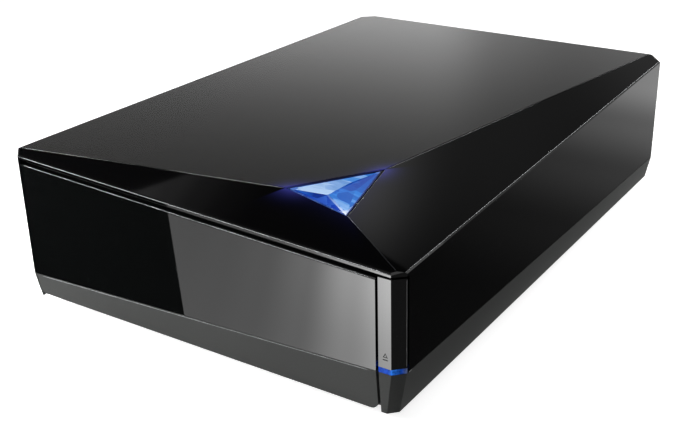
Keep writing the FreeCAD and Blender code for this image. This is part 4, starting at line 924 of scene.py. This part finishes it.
def stoneLight(name, tones, turn, stretch, paleFrom, paleTo, scale, lift):
    # The stone's own blue glow with painted highlights and reflections in it: crisp slivers of three tones,
    # with fine streaks across them
    material = newMaterial(name, Roughness=0.25, Specular_IOR_Level=0.04)
    tree = material.node_tree
    shader = tree.nodes["Principled BSDF"]
    shader.inputs["Base Color"].default_value = stone["depthColor"]
    turned = tree.nodes.new("ShaderNodeMapping")
    turned.inputs["Rotation"].default_value = (0, 0, math.radians(turn))
    turned.inputs["Scale"].default_value = (stretch, 1.0, 1.0)
    tree.links.new(objectPlace(tree), turned.inputs["Vector"])
    cells = tree.nodes.new("ShaderNodeTexVoronoi")
    cells.feature = "F1"
    cells.inputs["Scale"].default_value = scale
    tree.links.new(turned.outputs[0], cells.inputs["Vector"])
    tone = tree.nodes.new("ShaderNodeSeparateColor")
    tree.links.new(cells.outputs["Color"], tone.inputs[0])
    streaks = noiseNode(tree, turned.outputs[0], scale * stone["streakScale"], 5.0, 0.62)
    # How far along from the first point to the second, where the light thins out
    way = (paleTo - paleFrom) / (paleTo - paleFrom).length_squared
    share = plus(tree, times(tree, placeSocket(tree, 0), way.x), times(tree, placeSocket(tree, 1), way.y))
    share = minus(tree, share, way.dot(paleFrom))
    mixed = plus(tree, times(tree, tone.outputs[0], stone["sliverShare"]),
                 times(tree, streaks, stone["streakShare"]))
    thinned = minus(tree, lift, times(tree, share, stone["thinning"]))
    mixed = plus(tree, mixed, thinned)
    light = colorRamp(tree, mixed, 0.0, 1.0, list(zip(stone["toneStops"], tones)))
    tree.links.new(light, shader.inputs["Emission Color"])
    shader.inputs["Emission Strength"].default_value = 1.0
    return material


# In the order of the core's material slots: name, three tones from deep to pale, turn in degrees, stretch,
# the two points between which the light thins, scale, lift
coreLights = [
    ("stoneTopLight", ((0.04, 0.17, 0.54), (0.19, 0.38, 0.74), (0.52, 0.72, 0.98)),
     25, 0.35, "left", "back", 260.0, 0.58),
    ("stoneFrontLight", ((0.002, 0.012, 0.16), (0.005, 0.040, 0.42), (0.04, 0.14, 0.56)),
     -20, 0.4, "apex", "left", 200.0, 0.20),
    ("stoneRightLight", ((0.006, 0.11, 0.50), (0.03, 0.25, 0.74), (0.52, 0.76, 0.99)),
     60, 0.3, "front", "behind", 220.0, 0.34),
    ("stoneSkirtLight", ((0.001, 0.004, 0.05), (0.003, 0.02, 0.16), (0.02, 0.08, 0.40)),
     0, 1.0, "left", "back", 260.0, 0.42),
    ("stoneGlint", ((0.10, 0.20, 0.55), (0.45, 0.60, 0.92), (0.95, 0.98, 1.0)),
     40, 0.6, "front", "apex", 500.0, 0.42),
    ("stoneRimLight", ((0.01, 0.03, 0.16), (0.06, 0.14, 0.42), (0.35, 0.48, 0.80)),
     15, 0.8, "front", "back", 700.0, 0.20),
    ("stoneStreakLight", ((0.02, 0.16, 0.58), (0.10, 0.34, 0.80), (0.50, 0.70, 0.98)),
     30, 0.15, "middle", "back", 420.0, 0.42),
    ("stoneDeepLight", ((0.002, 0.055, 0.38), (0.008, 0.14, 0.60), (0.06, 0.30, 0.78)),
     35, 0.2, "apex", "back", 300.0, 0.26),
    ("stoneShadeLight", ((0.003, 0.025, 0.24), (0.012, 0.12, 0.52), (0.12, 0.32, 0.70)),
     -25, 0.25, "left", "apex", 260.0, 0.16),
    ("stoneSideLight", ((0.005, 0.10, 0.48), (0.02, 0.22, 0.70), (0.32, 0.58, 0.93)),
     62, 0.18, "front", "back", 300.0, 0.26),
]
# A glint's corner, the two corners that it is cut towards, its reach and how far its middle is pushed out
glintCuts = [
    ("left", "back", "front", 0.075, 1.5),
    ("back", "left", "front", 0.05, 1.6),
    ("front", "apex", "back", 0.20, 0.6),
    ("front", "left", "apex", 0.16, 0.5),
]


def cornerGlint(mesh, top, corner, first, second, reach, share):
    # A painted glint: a small bright facet just above the core, cut across one of its corners
    lift = Vector((0, 0, stone["glintLift"]))
    a, b, c = (top[k] for k in (corner, first, second))
    points = [a, a.lerp(b, reach), a.lerp(b.lerp(c, stone["glintLean"]), reach * share), a.lerp(c, reach)]
    verts = [mesh.verts.new(p + lift) for p in points]
    face = mesh.faces.new(verts)
    face.normal_update()
    if face.normal.z < 0:
        face.normal_flip()


def makeStone():
    shell = stoneShape("stoneShell", 0.0, stone["shellDrop"], shellFacets, {}, stone["crease"])
    glass = stoneGlass()
    for _ in range(rimSlot + 1):
        shell.data.materials.append(glass)
    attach(shell, "case")
    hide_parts("crystal_lens")
    inset, drop = stone["coreInset"], stone["coreDrop"]
    core = stoneShape("stoneCore", inset, drop, coreFacets, coreInner, stone["creaseCore"])
    spots = {name: p.to_2d() for name, p in stone["corner"].items()}
    spots["middle"] = (spots["left"] + spots["back"]) / 2
    spots["behind"] = (spots["apex"] + spots["back"]) / 2
    for name, tones, turn, stretch, start, end, scale, lift in coreLights:
        light = stoneLight(name, tones, turn, stretch, spots[start], spots[end], scale, lift)
        core.data.materials.append(light)
    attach(core, "case")

    # The painted glints lie a little above the core
    top = stoneOutline(inset * stone["glintShare"], drop * stone["glintShare"])
    mesh = bmesh.new()
    for corner, first, second, reach, share in glintCuts:
        cornerGlint(mesh, top, corner, first, second, reach, share)
    glints = finishMesh("stoneGlints", mesh)
    glints.data.materials.append(core.data.materials["stoneGlint"])
    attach(glints, "case")


gapShade = {
    "finish": {
        "Color": rgb(0.004, 0.004, 0.0045), "Roughness": 0.8, "Grain Scale": 3000.0, "Color Spread": 0.3,
    },
    "edgeGap": 0.02 * mm,
    "stoneGap": 0.03 * mm,
    "top": 0.05 * mm,           # below the opening's edge
    "bottom": 1.6 * mm,
}


def makeGapShade():
    # Painted shade: a dark filling for the shade in the gap between the stone and its opening, along the
    # plate and down the right edge
    c = stone["corner"]
    mesh = bmesh.new()
    for first, second, gap in (("back", "left", stone["gapTop"]), ("front", "back", stone["gapRight"])):
        away = edgeLine(c[first], c[second])[0].to_3d()
        near, far = away * -gapShade["edgeGap"], away * (gapShade["stoneGap"] - gap)
        quad = [c[first] + near, c[second] + near, c[second] + far, c[first] + far]
        high, low = ([mesh.verts.new(p - Vector((0, 0, gapShade[key]))) for p in quad]
                     for key in ("top", "bottom"))
        mesh.faces.new(high)
        mesh.faces.new(list(reversed(low)))
        for i in range(4):
            j = (i + 1) % 4
            mesh.faces.new([high[j], high[i], low[i], low[j]])
    bmesh.ops.recalc_face_normals(mesh, faces=mesh.faces)
    item = finishMesh("stoneGapShade", mesh)
    black = newMaterial("gapShadeBlack", mouldedGrain, gapShade["finish"], 0.2, 0.03 * mm, Specular_IOR_Level=0.1)
    item.data.materials.append(black)
    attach(item, "case")


makeStone()
makeGapShade()
print("stone built")

# Painted highlights: thin light threads along the edges where two faces meet

edges = {
    "radius": 0.085 * mm,
    "seamRadius": 0.10 * mm,
    "panelRadius": 0.08 * mm,
    "endTaper": 0.25,
    "nearEnd": 0.03,                # how far along a thread its taper reaches
    "frontY": -121.5 * mm,
    "margin": 0.05 * mm,            # within this, points count as lying on a face
    "beside": 0.28 * mm,
    "below": 0.32 * mm,
    "sink": 0.6,                    # in radii
    "keyShift": (-0.12 * mm, -0.08 * mm, 0),
    "lipShift": (0, 0.085 * mm, 0.12 * mm),
    "panelShift": (0, 0.024 * mm, -0.024 * mm),
    "rimShift": (0.15 * mm, 0.1 * mm, -0.02 * mm),
    # near these places lie the cover's corners
    "creaseEnd": (79.5 * mm, -118.5 * mm, 54.7 * mm),
    "lipEnds": ((-78.9 * mm, -121.5 * mm, 61.3 * mm), (78.9 * mm, -121.5 * mm, 54.2 * mm)),
    "sideEnds": ((82.0 * mm, -118.4 * mm, 54.8 * mm), (82.0 * mm, 115.8 * mm, 61.7 * mm)),
    "shine": {"Color": rgb(0.40, 0.41, 0.42), "Roughness": 0.5, "Haze": 0.05, "Color Spread": 0.18},
    "creaseColor": rgb(0.42, 0.46, 0.55),
    "creaseReach": 12 * mm,
    "creaseLevels": (1.0, 0.55, 0.22, 0.06, 0.03),
    "creaseLightNoise": (800.0, 0.3),     # scale, amount
}


def paintedCreaseLight():
    # Painted light on the crease: the stone's light and a highlight, bright near the stone and darker away
    # from it
    material = newMaterial("paintedCreaseLight", Roughness=0.25)
    tree = material.node_tree
    start = stone["corner"]["front"].x
    lit = rampOver(tree, placeSocket(tree, 0), start, start + edges["creaseReach"], edges["creaseLevels"])
    scale, amount = edges["creaseLightNoise"]
    lit = times(tree, lit, spreadAround(tree, noiseNode(tree, objectPlace(tree), scale), amount))
    color = scaledColor(tree, colorNode(tree, edges["creaseColor"]), lit)
    tree.links.new(color, tree.nodes["Principled BSDF"].inputs["Base Color"])
    return material


def edgeTube(name, start, end, radius, material, body, steps):
    # A straight six-sided thread, tapered at its ends, that carries a painted highlight
    near = edges["nearEnd"]
    places = [0.0, near] + [k / steps for k in range(1, steps)] + [1.0 - near, 1.0]
    path = [start.lerp(end, t) for t in places]
    direction = (path[-1] - path[0]).normalized()
    across = direction.orthogonal().normalized()
    other = direction.cross(across)
    mesh = bmesh.new()
    rings = []
    for i, p in enumerate(path):
        size = radius * (edges["endTaper"] if i in (0, len(path) - 1) else 1.0)
        rings.append([mesh.verts.new(p + (across * math.cos(t) + other * math.sin(t)) * size)
                      for t in (k * math.pi / 3 for k in range(6))])
    for a, b in zip(rings, rings[1:]):
        for k in range(6):
            mesh.faces.new([a[k], a[(k + 1) % 6], b[(k + 1) % 6], b[k]])
    mesh.faces.new(list(reversed(rings[0])))
    mesh.faces.new(rings[-1])
    bmesh.ops.recalc_face_normals(mesh, faces=mesh.faces)
    for face in mesh.faces:
        face.smooth = True
    item = finishMesh(name, mesh)
    item.data.materials.append(material)
    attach(item, body)


def besideEdge(a, b, radius):
    # Just outside a top edge and level with it, on the falling facet
    run = (b - a).to_2d().normalized()
    out = Vector((-run.y, run.x))
    if out.x < out.y:
        out = -out
    return (out * edges["beside"]).to_3d() - Vector((0, 0, radius))


def nodePoints(name):
    return [v.co.copy() for v in frame["nodes"][name].data.vertices]


def outerPoints(name, margin):
    # The node's points at its greatest x
    points = nodePoints(name)
    side = max(p.x for p in points)
    return [p for p in points if p.x > side - margin]


def nearest(points, place):
    return min(points, key=lambda p: (p - Vector(place)).length)


def makeEdgeHighlights():
    e = edges
    r, seam = e["radius"], e["seamRadius"]
    # The threads' light grey is a painted highlight on the dark edges
    shine = newMaterial("paintedEdgeHighlight", glossFinish, e["shine"], 0.02, 0.2 * mm, Specular_IOR_Level=0.2)
    corner = stone["corner"]
    sunk = Vector((0, 0, -e["sink"] * r))

    plate = nodePoints("top_plate")
    plateTop = max(p.z for p in plate)
    plate = [p for p in plate if p.z > plateTop - e["margin"]]
    plateLeft = min(plate, key=lambda p: p.x + 0.9 * p.y)
    plateBack = max(plate, key=lambda p: p.x + 0.9 * p.y)
    plateOut = besideEdge(plateLeft, corner["left"], r * 0.8)
    base = outerPoints("base_shell", 0.4 * e["margin"])
    seamEnds = min(base, key=lambda p: p.y - p.z), max(base, key=lambda p: p.y + p.z)
    strip = [p for p in nodePoints("front_strip") if p.y < e["frontY"] + e["margin"]]
    stripEnds = [max(strip, key=lambda p: p.z + lean * p.x) for lean in (-10, 10)]
    key = outerPoints("eject_key", e["margin"])
    keyEnds = min(key, key=lambda p: p.z + p.y), max(key, key=lambda p: p.z - p.y)
    # Halfway up the panel's narrow slope
    panel = [p for p in nodePoints("front_gloss_panel") if p.y < e["frontY"] + 1.0 * mm]
    flat = [p for p in panel if p.y < e["frontY"] + e["margin"]]
    slope = [p for p in panel if p.y > e["frontY"] + e["margin"]]
    panelEnds = [sum((max(points, key=lambda p: p.z + lean * p.x) for points in (flat, slope)), Vector()) / 2
                 for lean in (-4, 4)]
    cover = nodePoints("top_cover")
    lipEnds = [nearest(cover, place) for place in e["lipEnds"]]
    sideEnds = [nearest(cover, place) for place in e["sideEnds"]]

    # name, ends, shift, radius, body, slot, steps
    threads = [
        ("facetEdgeFront", (plateLeft, corner["left"]), plateOut, r * 0.8, "case", "gloss_black", 8),
        ("facetEdgeRight", (corner["back"], plateBack), besideEdge(corner["back"], plateBack, r), r,
         "case", "gloss_black", 8),
        ("facetCrease", (corner["front"], nearest(cover, e["creaseEnd"])), sunk, r, "case", "gloss_black", 8),
        ("seamEdgeRight", seamEnds, (-seam, 0, -e["below"]), seam, "case", "matte_band", 8),
        ("seamEdgeFront", stripEnds, (0, seam, -1.3 * e["below"]), seam, "drawer", "matte_band", 8),
        ("keyEdge", keyEnds, e["keyShift"], r * 0.7, "key", "mirror_panel", 4),
        ("lipEdge", lipEnds, e["lipShift"], r * 0.9, "case", "gloss_black", 8),
        ("panelEdge", panelEnds, e["panelShift"], e["panelRadius"], "drawer", "mirror_panel", 8),
        ("sideEdge", sideEnds, 0.5 * sunk, r, "case", "gloss_black", 8),
        ("stoneRim", (corner["front"], corner["back"]), Vector(e["rimShift"]) + sunk, r * 0.6,
         "case", "gloss_black", 6),
    ]
    for name, (start, end), shift, radius, body, slotName, steps in threads:
        shift = Vector(shift)
        material = paintedCreaseLight() if name == "facetCrease" else shine
        edgeTube(name, start + shift, end + shift, radius, material, body, steps)


makeEdgeHighlights()
print("edges built")

# Eject sign printed on the key: a generic triangle over a bar

ejectSign = {
    "centreX": 76.8 * mm,
    "lowZ": 24.4 * mm,
    "width": 1.9 * mm,
    "barHeight": 0.42 * mm,
    "gap": 0.55 * mm,
    "triangleHeight": 1.7 * mm,
    "line": 0.30 * mm,
    "ink": (0.006, 0.006, 0.006, 1),
    "inkRoughness": 0.75,
}


def keyPanel():
    # The panel's finish with the sign's ink over it, on the front face alone
    sign = ejectSign
    material = mirrorPanel("keyPanel")
    tree = material.node_tree
    shader = tree.nodes["Principled BSDF"]
    half = sign["width"] / 2
    side = mathNode(tree, "ABSOLUTE", minus(tree, placeSocket(tree, 0), sign["centreX"]))
    up = minus(tree, placeSocket(tree, 2), sign["lowZ"])

    def lessThan(a, b):
        return mathNode(tree, "LESS_THAN", a, b)

    def moreThan(a, b):
        return mathNode(tree, "GREATER_THAN", a, b)

    bar = times(tree, lessThan(side, half), times(tree, lessThan(up, sign["barHeight"]), moreThan(up, 0.0)))
    over = minus(tree, up, sign["barHeight"] + sign["gap"])
    # Half the triangle's width at this height
    reach = minus(tree, half, times(tree, over, half / sign["triangleHeight"]))
    slant = sign["line"] * math.hypot(1.0, half / sign["triangleHeight"])
    outer = times(tree, lessThan(side, reach), moreThan(over, 0.0))
    inner = times(tree, lessThan(side, minus(tree, reach, slant)), moreThan(over, sign["line"]))
    inked = plus(tree, bar, minus(tree, outer, inner), True)
    inked = times(tree, inked, lessThan(placeSocket(tree, 1), edges["frontY"] + 2 * edges["margin"]))
    rough = shader.inputs["Roughness"].links[0].from_socket
    rough = plus(tree, rough, times(tree, inked, sign["inkRoughness"]))
    tree.links.new(rough, shader.inputs["Roughness"])
    paintOver(tree, inked, sign["ink"])
    return material


keyFinish = keyPanel()
for place in frame["nodes"]["eject_key"].material_slots:
    place.material = keyFinish
print("eject sign printed")
